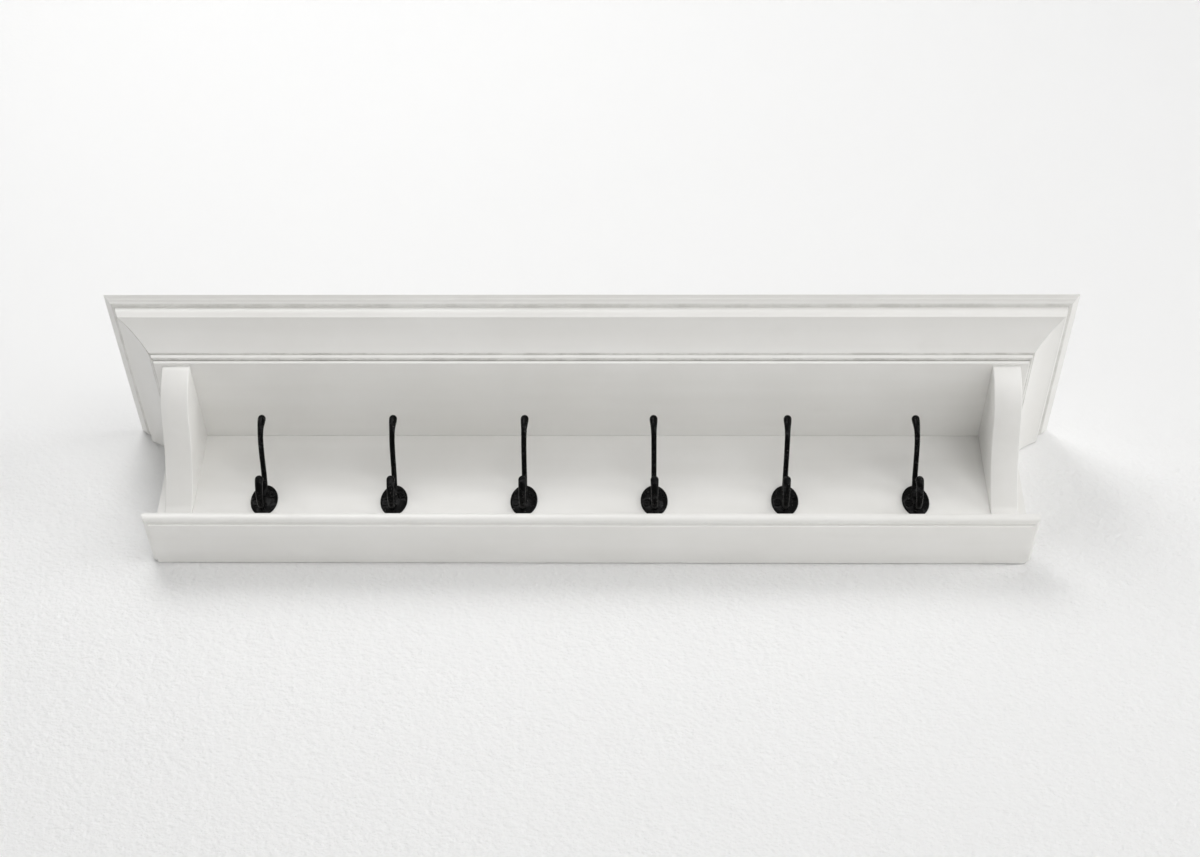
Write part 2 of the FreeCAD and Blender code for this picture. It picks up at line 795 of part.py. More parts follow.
def hook_shape():
    # One casting: a domed oval plate with a rib, a long prong and a short one.
    across = size["plate_width"].value / 2
    up = size["plate_height"].value / 2
    rim, dome = size["plate_rim"].value, size["plate_dome"].value
    edge = Part.makeLoft([ellipse_wire(0, across, up), ellipse_wire(rim, across, up)], True, True)
    ovals = [ellipse_wire(rim, across, up)]
    for share, rise_share in plate_dome_shares:
        ovals.append(ellipse_wire(rim + dome * rise_share, across * share, up * share))
    crown = Part.makeLoft(ovals, True, True)

    bulk, radius = rim + dome, size["rib_radius"].value
    rib = prong_shape([(bulk * a, up * b, radius * c) for a, b, c in rib_shares])
    reach, rise, radius = (size[name].value for name in ("prong_reach", "prong_rise", "prong_radius"))
    long_prong = prong_shape([(reach * a, rise * b, radius * c) for a, b, c in prong_shares])
    reach, rise, radius = (size[name].value for name in ("stub_reach", "stub_drop", "stub_radius"))
    short_prong = prong_shape([(reach * a, rise * b, radius * c) for a, b, c in stub_shares])

    casting = edge.multiFuse([crown, rib, long_prong, short_prong])
    # What would reach behind the plate into the panel is taken off.
    deep = 2 * (rise + reach)
    behind = Part.makeBox(deep, deep, deep, Vector(-deep / 2, 0, -deep / 2))
    casting = casting.cut(behind)
    for side in (-1, 1):
        place_x = size["hook_screw_side"].value * side
        place_z = size["hook_screw_rise"].value * side
        casting = casting.cut(countersink(place_x, place_z))
    return casting.removeSplitter()


def countersink(x, z):
    # A through hole with a cone for the screw's head and free room in front of it.
    clearance = size["screw_clearance"].value
    head = size["hook_screw_head"].value + clearance
    shank = size["hook_screw_shank"].value + clearance
    seat, rise = size["hook_screw_seat"].value, size["hook_screw_head_rise"].value
    overrun = size["overrun"].value
    toward_wall = Vector(0, 1, 0)
    hole = Part.makeCylinder(shank, seat + overrun, Vector(x, -seat, z), toward_wall)
    cone = Part.makeCone(head, shank, rise, Vector(x, -seat, z), toward_wall)
    mouth = Part.makeCylinder(head, overrun, Vector(x, -seat - overrun, z), toward_wall)
    return mouth.fuse([cone, hole])


def make_hooks():
    shape = hook_shape()
    for number, (x, lean) in enumerate(hook_places(), 1):
        hook = doc.addObject("Part::Feature", f"hook_{number}")
        hook.Shape = shape.copy()
        place(hook, f"hook_{number}", x, -size["panel_face"], size["hook_rise"])
        hook.Placement.Rotation = Rotation(Vector(0, 1, 0), lean.value)


# Screws

def screw_shape(head_radius, head_rise, seat_radius, shank_radius, length, point):
    # Points along +Z from the top of its head at zero. The head narrows from one radius to the other.
    outline = [
        (0, 0),
        (head_radius, 0),
        (seat_radius, head_rise),
        (shank_radius, head_rise),
        (shank_radius, length - point),
        (0, length),
        (0, 0),
    ]
    wire = Part.makePolygon([Vector(across, 0, along) for across, along in outline])
    return Part.Face(wire).revolve(Vector(0, 0, 0), Vector(0, 0, 1), 360)


def make_screws(label, shape, places, direction):
    # Places are (x, y, level) of the top of each head.
    copies = []
    turn = Rotation(Vector(0, 0, 1), direction)
    for x, y, level in places:
        spot = Vector(x.value, y.value, (level - size["origin_rise"]).value)
        copy = shape.copy()
        copy.Placement = Placement(spot, turn)
        copies.append(copy)
    group = doc.addObject("Part::Feature", label)
    group.Shape = Part.makeCompound(copies)
    group.Label = label


def make_hook_screws():
    names = ("head", "head_rise", "shank", "length")
    head, rise, shank, length = (size[f"hook_screw_{name}"].value for name in names)
    shape = screw_shape(head, rise, shank, shank, length, size["screw_point"].value)
    out = -size["panel_face"] - size["hook_screw_seat"]
    places = [(x, out, level) for x, level in hook_screw_places()]
    make_screws("hook_screws", shape, places, Vector(0, 1, 0))


def wood_screw(length):
    head, rise = size["wood_screw_head"].value, size["wood_screw_head_rise"].value
    shank, point = size["wood_screw_shank"].value, size["screw_point"].value
    return screw_shape(head, rise, head, shank, rise + length.value, point)


def panel_screw_places():
    return [panel_half * share for share in panel_screw_shares]


def soffit_screw_places():
    # A row into the panel's top edge, and two into each bracket's.
    places = [(x, -panel_middle) for x in panel_screw_places()]
    for side in (-1, 1):
        for share in bracket_top_screw_shares:
            reach = size["panel_face"] + bracket_reach * share
            places.append((bracket_middle * side, -reach))
    return places


def make_soffit_screws():
    wood = size["soffit_thick"] - size["wood_screw_counterbore"]
    top = soffit_top - size["wood_screw_counterbore"] + size["wood_screw_head_rise"]
    places = [(x, y, top) for x, y in soffit_screw_places()]
    make_screws("soffit_screws", wood_screw(wood + size["wood_screw_bite"]), places, Vector(0, 0, -1))


def bracket_screw_places():
    # Across the panel and up from its lower edge.
    rises = [size["bay_rise"] * share for share in bracket_back_screw_shares]
    return [(bracket_middle * side, rise) for side in (-1, 1) for rise in rises]


def make_bracket_screws():
    wood = size["panel_thick"] - size["wood_screw_counterbore"]
    y = size["wood_screw_head_rise"] - size["wood_screw_counterbore"] - wall_gap
    places = [(x, y, ledge_top + rise) for x, rise in bracket_screw_places()]
    make_screws("bracket_screws", wood_screw(wood + size["wood_screw_bite"]), places, Vector(0, -1, 0))


def rail_screw_places():
    return [panel_half * share for share in rail_screw_shares]


def make_rail_screws():
    wood = wall_gap - size["rail_screw_counterbore"]
    y = size["wood_screw_head_rise"] - size["rail_screw_counterbore"]
    places = [(x, y, size["origin_rise"]) for x in rail_screw_places()]
    make_screws("rail_screws", wood_screw(wood + size["rail_screw_bite"]), places, Vector(0, -1, 0))


def make_hanger_screws():
    names = ("head", "head_rise", "shank", "length")
    head, rise, shank, length = (size[f"hanger_screw_{name}"].value for name in names)
    shape = screw_shape(head, rise, head, shank, rise + length, size["screw_point"].value)
    y = size["hanger_screw_head_rise"] + size["hanger_thick"] - size["hanger_recess"]
    places = [(x, y, size["origin_rise"] + up) for x, up in hanger_screw_places()]
    make_screws("hanger_screws", shape, places, Vector(0, -1, 0))


make_crown_front()
make_crown_return("crown_left_return", -1)
make_crown_return("crown_right_return", 1)
make_top_board()
make_soffit_board()
make_crown_blocks()
make_crown_back_rail()
make_back_panel()
make_end_battens()
make_hanging_rail()
make_hanger_plates()
make_bracket("left_bracket", -1)
make_bracket("right_bracket", 1)
make_bottom_ledge()
make_ledge_dowels()
make_hooks()
make_hook_screws()
make_soffit_screws()
make_bracket_screws()
make_rail_screws()
make_hanger_screws()
doc.recompute()
pieces = {thing.Label: thing for thing in doc.Objects}

# The pieces, each with how many solids it holds.
screw_counts = {
    "hook_screws": len(hook_screw_places()),
    "soffit_screws": len(soffit_screw_places()),
    "bracket_screws": len(bracket_screw_places()),
    "rail_screws": len(rail_screw_places()),
    "hanger_screws": len(hanger_screw_places()),
}
group_counts = {
    "crown_blocks": len(pieces["crown_blocks"].Links),
    "ledge_dowels": len(ledge_dowel_places()),
    "hanger_plates": len(hanger_places()),
}
single_pieces = [
    "crown_front", "crown_left_return", "crown_right_return", "top_board", "soffit_board",
    "crown_back_rail", "back_panel", "left_end_batten", "right_end_batten", "hanging_rail",
    "left_bracket", "right_bracket", "bottom_ledge",
]
hook_pieces = [f"hook_{number}" for number in range(1, len(hook_leans) + 1)]
piece_counts = {name: 1 for name in single_pieces + hook_pieces} | group_counts | screw_counts

for thing in doc.Objects:
    if "Invalid" in thing.State or "Error" in thing.State:
        raise RuntimeError(f"{thing.Label} failed: {thing.State}")

os.makedirs("parts", exist_ok=True)
for name, count in piece_counts.items():
    shape = pieces[name].Shape
    if shape.isNull() or not shape.isValid():
        raise RuntimeError(f"{name} has no sound shape")
    if len(shape.Solids) != count:
        raise RuntimeError(f"{name} has {len(shape.Solids)} solids, not {count}")
    print(name, len(shape.Solids), round(shape.Volume), [round(value, 1) for value in (
        shape.BoundBox.XMin, shape.BoundBox.XMax, shape.BoundBox.YMin,
        shape.BoundBox.YMax, shape.BoundBox.ZMin, shape.BoundBox.ZMax)])
for name in piece_counts:
    pieces[name].Shape.exportStep(f"parts/{name}.step")
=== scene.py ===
import math
import bmesh
import bpy
from mathutils import Matrix, Vector


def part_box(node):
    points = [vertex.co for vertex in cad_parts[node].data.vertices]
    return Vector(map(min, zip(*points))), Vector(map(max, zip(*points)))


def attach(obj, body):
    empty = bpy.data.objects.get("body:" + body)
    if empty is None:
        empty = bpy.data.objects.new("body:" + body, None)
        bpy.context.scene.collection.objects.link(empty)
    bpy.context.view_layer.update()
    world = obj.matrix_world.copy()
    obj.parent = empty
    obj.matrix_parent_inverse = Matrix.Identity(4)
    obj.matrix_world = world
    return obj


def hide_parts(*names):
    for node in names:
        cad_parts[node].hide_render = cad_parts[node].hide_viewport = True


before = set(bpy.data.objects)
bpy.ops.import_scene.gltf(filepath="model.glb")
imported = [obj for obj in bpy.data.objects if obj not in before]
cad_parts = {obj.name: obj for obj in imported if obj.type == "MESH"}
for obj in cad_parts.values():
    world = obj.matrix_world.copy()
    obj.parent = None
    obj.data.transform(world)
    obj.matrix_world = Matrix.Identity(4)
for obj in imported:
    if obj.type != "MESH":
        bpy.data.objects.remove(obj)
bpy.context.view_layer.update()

# White wall shelf with a moulded crown, two curved brackets, a ledge and six black cast iron coat hooks.
# X runs along the shelf, Y towards the wall (the shelf's back is at zero), Z up. Metres, as in the frame.

mm = 0.001
tolerance = 0.01 * mm           # closer than this counts as the same place
scene = bpy.context.scene

# Levels that the crown's section and the painted shade and dust in its seams share.
bandDrop = 7.2 * mm             # from the crown's top down to the band's foot
coveDrop = 41.0 * mm            # from the crown's top down to the cove's foot
seamRise = 0.5 * mm             # from the crown's lowest edge up to its foot


# Camera

camera = {
    "place": (0.04107, -1.58631, -1.30082),
    "lens": 57.13,
    "sensor": 36.0,
    "pitch": 0.718349,              # radians up from level
    "yaw": -0.0208813,              # radians to the right
    "roll": 0.0142488,              # radians
}


def makeCamera():
    data = bpy.data.cameras.new("viewCamera")
    data.lens = camera["lens"]
    data.sensor_width = camera["sensor"]
    obj = bpy.data.objects.new("viewCamera", data)
    scene.collection.objects.link(obj)
    pitch, yaw, roll = camera["pitch"], camera["yaw"], camera["roll"]
    forward = Vector((math.sin(yaw) * math.cos(pitch), math.cos(yaw) * math.cos(pitch), math.sin(pitch)))
    level = Vector((math.cos(yaw), -math.sin(yaw), 0))
    upright = level.cross(forward)
    right = level * math.cos(roll) + upright * math.sin(roll)
    up = upright * math.cos(roll) - level * math.sin(roll)
    turn = Matrix((right, up, -forward)).transposed()
    obj.matrix_world = Matrix.Translation(camera["place"]) @ turn.to_4x4()
    scene.camera = obj


makeCamera()
print("camera set")


# Shader and node helpers

class Wire:
    # A socket that takes part in sums. Its make method adds any other node.

    def __init__(self, tree, socket=None):
        self.tree = tree
        self.socket = socket

    def make(self, kind, settings=None, inputs=None, output=0):
        node = self.tree.nodes.new(kind)
        for name, value in (settings or {}).items():
            setattr(node, name, value)
        for name, value in (inputs or {}).items():
            plug(self.tree, node.inputs[name], value)
        return Wire(self.tree, node.outputs[output])

    def sum(self, operation, first, second):
        return self.make("ShaderNodeMath", {"operation": operation}, {0: first, 1: second})

    def __add__(self, other):
        return self.sum("ADD", self, other)

    def __radd__(self, other):
        return self.sum("ADD", other, self)

    def __sub__(self, other):
        return self.sum("SUBTRACT", self, other)

    def __rsub__(self, other):
        return self.sum("SUBTRACT", other, self)

    def __mul__(self, other):
        return self.sum("MULTIPLY", self, other)

    def __rmul__(self, other):
        return self.sum("MULTIPLY", other, self)


def plug(tree, socket, value):
    # The value is a plain one, a wire, or a list of wires for a socket that takes several.
    if isinstance(value, list):
        for wire in value:
            tree.links.new(wire.socket, socket)
    elif isinstance(value, Wire):
        tree.links.new(value.socket, socket)
    else:
        socket.default_value = value


def newMaterial(name):
    # The material, a wire to start sums from, its shader, and the place on the piece.
    material = bpy.data.materials.new(name)
    material.use_nodes = True
    tree = material.node_tree
    start = Wire(tree)
    place = start.make("ShaderNodeTexCoord", output="Object")
    return material, start, tree.nodes["Principled BSDF"], place


def dress(start, shader, values):
    # Gives a finish's values and patterns to its shader.
    for name, value in values.items():
        plug(start.tree, shader.inputs[name], value)


def stretched(start, place, stretch):
    # A pattern on this grows long along an axis whose number is small.
    return start.make("ShaderNodeMapping", {}, {"Vector": place, "Scale": stretch})


def noise(start, vector, scale, detail, roughness):
    inputs = {"Vector": vector, "Scale": scale, "Detail": detail, "Roughness": roughness}
    return start.make("ShaderNodeTexNoise", {}, inputs)


def between(start, value, low, high):
    # Zero at low and before it, one at high and past it, a straight ramp in between.
    inputs = {"Value": value, "From Min": low, "From Max": high}
    return start.make("ShaderNodeMapRange", {"clamp": True}, inputs)


def mixColour(start, factor, first, second):
    def colour(value):
        return value if isinstance(value, Wire) else (*value, 1.0)
    settings = {"data_type": "RGBA", "blend_type": "MIX"}
    return start.make("ShaderNodeMix", settings, {0: factor, 6: colour(first), 7: colour(second)}, output=2)


def bump(start, height, distance=1.0):
    # The height is in metres where no distance scales it.
    return start.make("ShaderNodeBump", {}, {"Height": height, "Distance": distance, "Strength": 1.0})


def mixPaler(start, factor, colour, share):
    # From a share of a colour's brightness up to the colour itself.
    return mixColour(start, factor, tuple(value * share for value in colour), colour)


# Materials

# A pattern is a noise's scale per metre, its detail and its roughness.
# A range holds the values at which a pattern starts to count and counts in full.

crownLow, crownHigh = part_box("crown_front")
paintLook = {
    "white": (0.875, 0.869, 0.850),
    "shade": (0.835, 0.827, 0.803),
    "cloudPattern": (9.0, 3.0, 0.6),
    "streakPattern": (40.0, 3.0, 0.55),
    "cloudShare": 0.6,              # clouds in the shading, the rest is streaks
    "shadeRange": (0.38, 0.66),
    "smudge": (0.68, 0.668, 0.64),
    "smudgePattern": (26.0, 4.0, 0.65),
    "smudgeRange": (0.60, 0.78),
    "smudgeShare": 0.10,
    # Colour of the painted shade and dust in the crown's groove and seams.
    "dustAndShade": (0.26, 0.245, 0.215),
    "dustAndShadePattern": (38.0, 4.0, 0.65),
    "dustAndShadeRange": (0.42, 0.60),
    "dustAndShadeEven": 0.25,               # painted shade and dust all along a seam, and the patches on top of it
    "dustAndShadePatch": 0.55,
    "dustAndShadeShare": 0.40,
    "seams": (                      # level of each seam, and how much of the painted shade and dust it holds
        (crownHigh.z - coveDrop, 1.0),
        (crownLow.z + seamRise, 1.0),
        (crownHigh.z - bandDrop, 0.7),
    ),
    "seamWidth": 0.7 * mm,
    "roughness": 0.36,
    "brushPattern": (260.0, 4.0, 0.6),
    "brushRough": 0.12,
    "brushDepth": 0.012 * mm,
    "peelPattern": (420.0, 2.0, 0.5),
    "peelDepth": 0.008 * mm,
    "smudgeRough": 0.10,
    "specular": 0.45,
}


def seamShadeAndDust(start, place):
    # Painted shade that darkens the crown's groove and seams, with some dust settled there, patchy along
    # them.
    look = paintLook
    height = start.make("ShaderNodeSeparateXYZ", {}, {"Vector": place}, output="Z")
    patch = between(start, noise(start, place, *look["dustAndShadePattern"]), *look["dustAndShadeRange"])
    total = 0.0
    for level, depth in look["seams"]:
        away = start.make("ShaderNodeMath", {"operation": "ABSOLUTE"}, {0: height - level})
        total = between(start, away, look["seamWidth"], look["seamWidth"] / 2) * depth + total
    return total * (patch * look["dustAndShadePatch"] + look["dustAndShadeEven"])


def makePaint(name, stretch):
    # Satin brushed paint. The stretch is small along the grain that the brush followed.
    material, start, shader, place = newMaterial(name)
    look = paintLook
    along = stretched(start, place, stretch)
    brush = noise(start, along, *look["brushPattern"])
    streak = noise(start, along, *look["streakPattern"])
    peel = noise(start, place, *look["peelPattern"])
    cloud = noise(start, place, *look["cloudPattern"])
    smudge = between(start, noise(start, place, *look["smudgePattern"]), *look["smudgeRange"])
    mottle = cloud * look["cloudShare"] + streak * (1 - look["cloudShare"])
    colour = mixColour(start, between(start, mottle, *look["shadeRange"]), look["shade"], look["white"])
    colour = mixColour(start, smudge * look["smudgeShare"], colour, look["smudge"])
    # Painted shade and dust darken the crown's groove and seams.
    colour = mixColour(start, seamShadeAndDust(start, place) * look["dustAndShadeShare"], colour, look["dustAndShade"])
    even = look["roughness"] - look["brushRough"] / 2
    height = brush * look["brushDepth"] + peel * look["peelDepth"]
    dress(start, shader, {
        "Base Color": colour,
        "Roughness": brush * look["brushRough"] + smudge * look["smudgeRough"] + even,
        "Normal": bump(start, height),
        "Specular IOR Level": look["specular"],
    })
    return material


ironLook = {
    "black": (0.0010, 0.0010, 0.0010),
    # Paler patches, partly rubbed paint and partly painted sheen.
    "rubbedAndSheen": (0.024, 0.024, 0.0245),
    "rubAndSheenPattern": (130.0, 3.0, 0.6),
    "rubAndSheenRange": (0.55, 0.72),
    "rubRough": 0.12,
    # Pale flecks, partly rubbed paint and partly painted glints.
    "fleckAndGlint": (0.20, 0.195, 0.185),
    "fleckAndGlintPattern": (620.0, 2.0, 0.5),
    "fleckAndGlintRange": (0.67, 0.74),
    "fleckAndGlintShare": 0.45,
    "castPattern": (900.0, 4.0, 0.6),
    "castRough": 0.14,
    "castDepth": 0.05 * mm,
    "dentPattern": (190.0, 3.0, 0.55),
    "dentDepth": 0.22 * mm,
    "leastRough": 0.16,
    "specular": 0.06,
}


def makeIron():
    # Black painted castings: faint pits, soft sheen, paler patches and pale flecks that are partly rubbed
    # paint and partly painted sheen and glints.
    material, start, shader, place = newMaterial("blackIron")
    look = ironLook
    cast = noise(start, place, *look["castPattern"])
    dents = noise(start, place, *look["dentPattern"])
    fleckAndGlint = between(start, noise(start, place, *look["fleckAndGlintPattern"]), *look["fleckAndGlintRange"])
    rubAndSheen = between(start, noise(start, place, *look["rubAndSheenPattern"]), *look["rubAndSheenRange"])
    # Paler patches: rubbed paint and painted sheen.
    colour = mixColour(start, rubAndSheen, look["black"], look["rubbedAndSheen"])
    # Pale flecks: rubbed paint and painted glints.
    colour = mixColour(start, fleckAndGlint * look["fleckAndGlintShare"], colour, look["fleckAndGlint"])
    height = cast * look["castDepth"] + dents * look["dentDepth"]
    dress(start, shader, {
        "Base Color": colour,
        "Roughness": cast * look["castRough"] + rubAndSheen * look["rubRough"] + look["leastRough"],
        "Normal": bump(start, height),
        "Specular IOR Level": look["specular"],
    })
    return material


screwLook = {
    "black": (0.0012, 0.0012, 0.0012),
    "worn": (0.012, 0.012, 0.0118),
    "wearPattern": (800.0, 3.0, 0.6),
    "wearRange": (0.55, 0.75),
    "wearRough": 0.15,
    "wearMetal": 0.1,
    "leastRough": 0.30,
    "specular": 0.06,
}


def makeScrewBlack():
    # Blackened screws, a little paler where a driver wore them.
    material, start, shader, place = newMaterial("blackScrew")
    look = screwLook
    wear = between(start, noise(start, place, *look["wearPattern"]), *look["wearRange"])
    dress(start, shader, {
        "Base Color": mixColour(start, wear, look["black"], look["worn"]),
        "Roughness": wear * look["wearRough"] + look["leastRough"],
        "Metallic": wear * look["wearMetal"],
        "Specular IOR Level": look["specular"],
    })
    return material


zincLook = {
    "plateTint": (0.62, 0.63, 0.64),
    "screwTint": (0.66, 0.63, 0.52),
    "rolling": (1.0, 1.0, 0.06),
    "linePattern": (1500.0, 2.0, 0.5),
    "lineRough": 0.10,
    "lineDepth": 0.01 * mm,
    "bloomPattern": (130.0, 4.0, 0.6),
    "bloomRange": (0.35, 0.65),
    "bloomShade": 0.72,             # how dark the tint is where there is no bloom
    "bloomRough": 0.20,
    "leastRough": 0.22,
}


def makeZinc(name, tint):
    # Zinc plated steel with its cloudy bloom and fine rolling lines.
    material, start, shader, place = newMaterial(name)
    look = zincLook
    lines = noise(start, stretched(start, place, look["rolling"]), *look["linePattern"])
    bloom = noise(start, place, *look["bloomPattern"])
    cloudy = between(start, bloom, *look["bloomRange"])
    dress(start, shader, {
        "Base Color": mixPaler(start, cloudy, tint, look["bloomShade"]),
        "Roughness": bloom * look["bloomRough"] + lines * look["lineRough"] + look["leastRough"],
        "Metallic": 1.0,
        "Normal": bump(start, lines, look["lineDepth"]),
    })
    return material


woodLook = {
    "late": (0.60, 0.43, 0.26),
    "early": (0.72, 0.56, 0.38),
    "pore": (0.42, 0.28, 0.16),
    "alongX": (0.05, 1.0, 1.0),
    "rings": {"Scale": 34.0, "Distortion": 7.0, "Detail": 2.0, "Detail Scale": 1.2},
    "warpPattern": (22.0, 2.0, 0.5),
    "ringShare": 0.6,               # rings in the grain, the rest is the warp
    "grainRange": (0.25, 0.75),
    "porePattern": (900.0, 3.0, 0.6),
    "poreRange": (0.60, 0.80),
    "poreShare": 0.5,
    "grainRough": 0.10,
    "leastRough": 0.62,
    "depth": 0.05 * mm,
}


def makeBareWood():
    # Unpainted pine: growth rings stretched along the board, with fine pores.
    material, start, shader, place = newMaterial("bareWood")
    look = woodLook
    along = stretched(start, place, look["alongX"])
    warp = noise(start, along, *look["warpPattern"])
    ring = start.make("ShaderNodeTexWave", {"wave_type": "BANDS", "bands_direction": "Z"},
                      {"Vector": along, **look["rings"]})
    pores = noise(start, along, *look["porePattern"])
    figure = ring * look["ringShare"] + warp * (1 - look["ringShare"])
    grain = between(start, figure, *look["grainRange"])
    colour = mixColour(start, grain, look["late"], look["early"])
    speck = between(start, pores, *look["poreRange"]) * look["poreShare"]
    dress(start, shader, {
        "Base Color": mixColour(start, speck, colour, look["pore"]),
        "Roughness": grain * look["grainRough"] + look["leastRough"],
        "Normal": bump(start, pores + grain, look["depth"]),
    })
    return material


paintAlongX = makePaint("paintAlongX", (0.05, 1.0, 1.0))
paintAlongY = makePaint("paintAlongY", (1.0, 0.05, 1.0))
paintAlongZ = makePaint("paintAlongZ", (1.0, 1.0, 0.06))
blackIron = makeIron()
blackScrew = makeScrewBlack()
zincPlate = makeZinc("zincPlate", zincLook["plateTint"])
zincScrew = makeZinc("zincScrew", zincLook["screwTint"])
bareWood = makeBareWood()
print("materials made")


# Mesh helpers

def addPiece(name, mesh, material=None):
    obj = bpy.data.objects.new(name, mesh)
    scene.collection.objects.link(obj)
    if material:
        mesh.materials.append(material)
    return obj


def settle(obj):
    # Turns the modifiers' result into the object's plain mesh.
    graph = bpy.context.evaluated_depsgraph_get()
    mesh = bpy.data.meshes.new_from_object(obj.evaluated_get(graph))
    obj.modifiers.clear()
    obj.data = mesh


def finishPiece(obj, node):
    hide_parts(node)
    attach(obj, "root")


def sharpenCorners(mesh, angle=math.radians(32)):
    # Smooth shading that stops at real corners.
    mesh.shade_smooth()
    mesh.set_sharp_from_angle(angle=angle)


def arcPoints(start, end, radius, side, steps):
    # Points after start and before end. Side is 1 when the centre lies left of the way from start to end.
    start, end = Vector(start), Vector(end)
    chord = end - start
    reach = math.sqrt(max(radius ** 2 - (chord.length / 2) ** 2, 0))
    across = Vector((-chord.y, chord.x)).normalized()
    centre = start + chord / 2 + across * reach * side
    spoke = start - centre
    sweep = 2 * math.asin(chord.length / 2 / radius) * side
    points = []
    for index in range(1, steps):
        turn = sweep * index / steps
        points.append(centre + Matrix.Rotation(turn, 2) @ spoke)
    return points


def traceOutline(corners, steps):
    # A corner is (x, y), or (x, y, radius, side) where an arc of so many steps leads on from it.
    points = []
    for index, corner in enumerate(corners):
        following = corners[(index + 1) % len(corners)]
        points.append(Vector(corner[:2]))
        if len(corner) > 2:
            points += arcPoints(corner[:2], following[:2], corner[2], corner[3], steps)
    return points


def easeOutline(points, radius, steps=3, least=math.radians(20), most=0.45):
    # Rounds each corner that turns by more than the least angle, as paint and sandpaper do.
    # The round takes at most that share of a side.
    eased = []
    count = len(points)
    for index, point in enumerate(points):
        before = points[index - 1] - point
        after = points[(index + 1) % count] - point
        turn = math.pi - before.angle(after)
        if turn < least:
            eased.append(point)
            continue
        back = min(radius * math.tan(turn / 2), before.length * most, after.length * most)
        first = point + before.normalized() * back
        last = point + after.normalized() * back
        for step in range(steps + 1):
            share = step / steps
            low = first.lerp(point, share)
            high = point.lerp(last, share)
            eased.append(low.lerp(high, share))
    return eased


def outlineFace(name, points):
    # One upright face at x zero, its outline given as (y, z), facing along X.
    area = sum(a.x * b.y - b.x * a.y for a, b in zip(points, points[1:] + points[:1]))
    if area < 0:
        points = points[::-1]
    mesh = bpy.data.meshes.new(name)
    mesh.from_pydata([(0, point.x, point.y) for point in points], [], [range(len(points))])
    return mesh


def edgesWhere(bm, test):
    # The edges whose two ends both pass the test.
    return [edge for edge in bm.edges if all(test(vertex.co) for vertex in edge.verts)]


def bevelEdges(bm, edges, width, segments):
    bmesh.ops.bevel(bm, geom=edges, offset=width, segments=segments, profile=0.5,
                    affect="EDGES", clamp_overlap=True)


def sharpEdges(bm, least=math.radians(30)):
    return [edge for edge in bm.edges if len(edge.link_faces) == 2 and edge.calc_face_angle() > least]


def near(first, second):
    return abs(first - second) < tolerance


def rimEdges(bm, low, high, *levels):
    # The level edges round the front and both ends at any of the levels, but not the one at the wall.
    def onRim(spot):
        outside = near(spot.y, low.y) or near(spot.x, low.x) or near(spot.x, high.x)
        return outside and any(near(spot.z, level) for level in levels)

    return [edge for edge in edgesWhere(bm, onRim)
            if not all(near(vertex.co.y, high.y) for vertex in edge.verts)
            and near(edge.verts[0].co.z, edge.verts[1].co.z)]


# Node trees: how they are built, and the one that runs a section along X between square or mitred ends

def newTree(name, sizes, vectors=()):
    # A tree with a float input for each size, a vector input for each vector, and a material.
    tree = bpy.data.node_groups.new(name, "GeometryNodeTree")
    labels = [("Geometry", "Geometry")]
    labels += [(label, "Float") for label in sizes]
    labels += [(label, "Vector") for label in vectors]
    labels += [("Material", "Material")]
    for label, kind in labels:
        tree.interface.new_socket(label, in_out="INPUT", socket_type=f"NodeSocket{kind}")
    tree.interface.new_socket("Geometry", in_out="OUTPUT", socket_type="NodeSocketGeometry")
    source = tree.nodes.new("NodeGroupInput")
    wires = {socket.name: Wire(tree, socket) for socket in source.outputs if socket.name}
    return tree, Wire(tree), wires


def closeTree(tree, start, wires, body):
    # Makes instances real, gives the body its material and ends the tree.
    body = start.make("GeometryNodeRealizeInstances", {}, {"Geometry": body})
    body = start.make("GeometryNodeSetMaterial", {}, {"Geometry": body, "Material": wires["Material"]})
    sink = tree.nodes.new("NodeGroupOutput")
    tree.links.new(body.socket, sink.inputs["Geometry"])
    return tree


def addTree(obj, tree, values):
    # The values are set by socket identifier, before the object is first evaluated.
    modifier = obj.modifiers.new(tree.name, "NODES")
    modifier.node_group = tree
    for item in tree.interface.items_tree:
        if item.in_out == "INPUT" and item.name in values:
            modifier[item.identifier] = values[item.name]


def makeRunTree():
    sizes = ("Start", "Finish", "Start Mitre", "Finish Mitre", "Start Gap", "Finish Gap")
    tree, start, wires = newTree("mouldingRun", sizes, ("Turn", "Place"))
    section = wires["Geometry"]
    # The section is run one metre along X. Each end is then moved to its own place.
    run = start.make("GeometryNodeExtrudeMesh", {"mode": "FACES"},
                     {"Mesh": section, "Offset": (1.0, 0.0, 0.0), "Offset Scale": 1.0, "Individual": False})
    cap = start.make("GeometryNodeFlipFaces", {}, {"Mesh": section})
    shell = start.make("GeometryNodeJoinGeometry", {}, {"Geometry": [run, cap]})
    body = start.make("GeometryNodeMergeByDistance", {}, {"Geometry": shell, "Distance": tolerance / 10})
    position = start.make("GeometryNodeInputPosition")
    split = start.make("ShaderNodeSeparateXYZ", {}, {"Vector": position})
    share, inset, height = (Wire(tree, output) for output in split.socket.node.outputs)
    # A mitre's gap opens with the drop below the top.
    opening = height * -1.0
    low = wires["Start"] + inset * wires["Start Mitre"] + opening * wires["Start Gap"]
    high = wires["Finish"] - inset * wires["Finish Mitre"] - opening * wires["Finish Gap"]
    x = low * (1.0 - share) + high * share
    spot = start.make("ShaderNodeCombineXYZ", {}, {"X": x, "Y": inset, "Z": height})
    body = start.make("GeometryNodeSetPosition", {}, {"Geometry": body, "Position": spot})
    body = start.make("GeometryNodeTransform", {},
                      {"Geometry": body, "Rotation": wires["Turn"], "Translation": wires["Place"]})
    return closeTree(tree, start, wires, body)


# Crown moulding

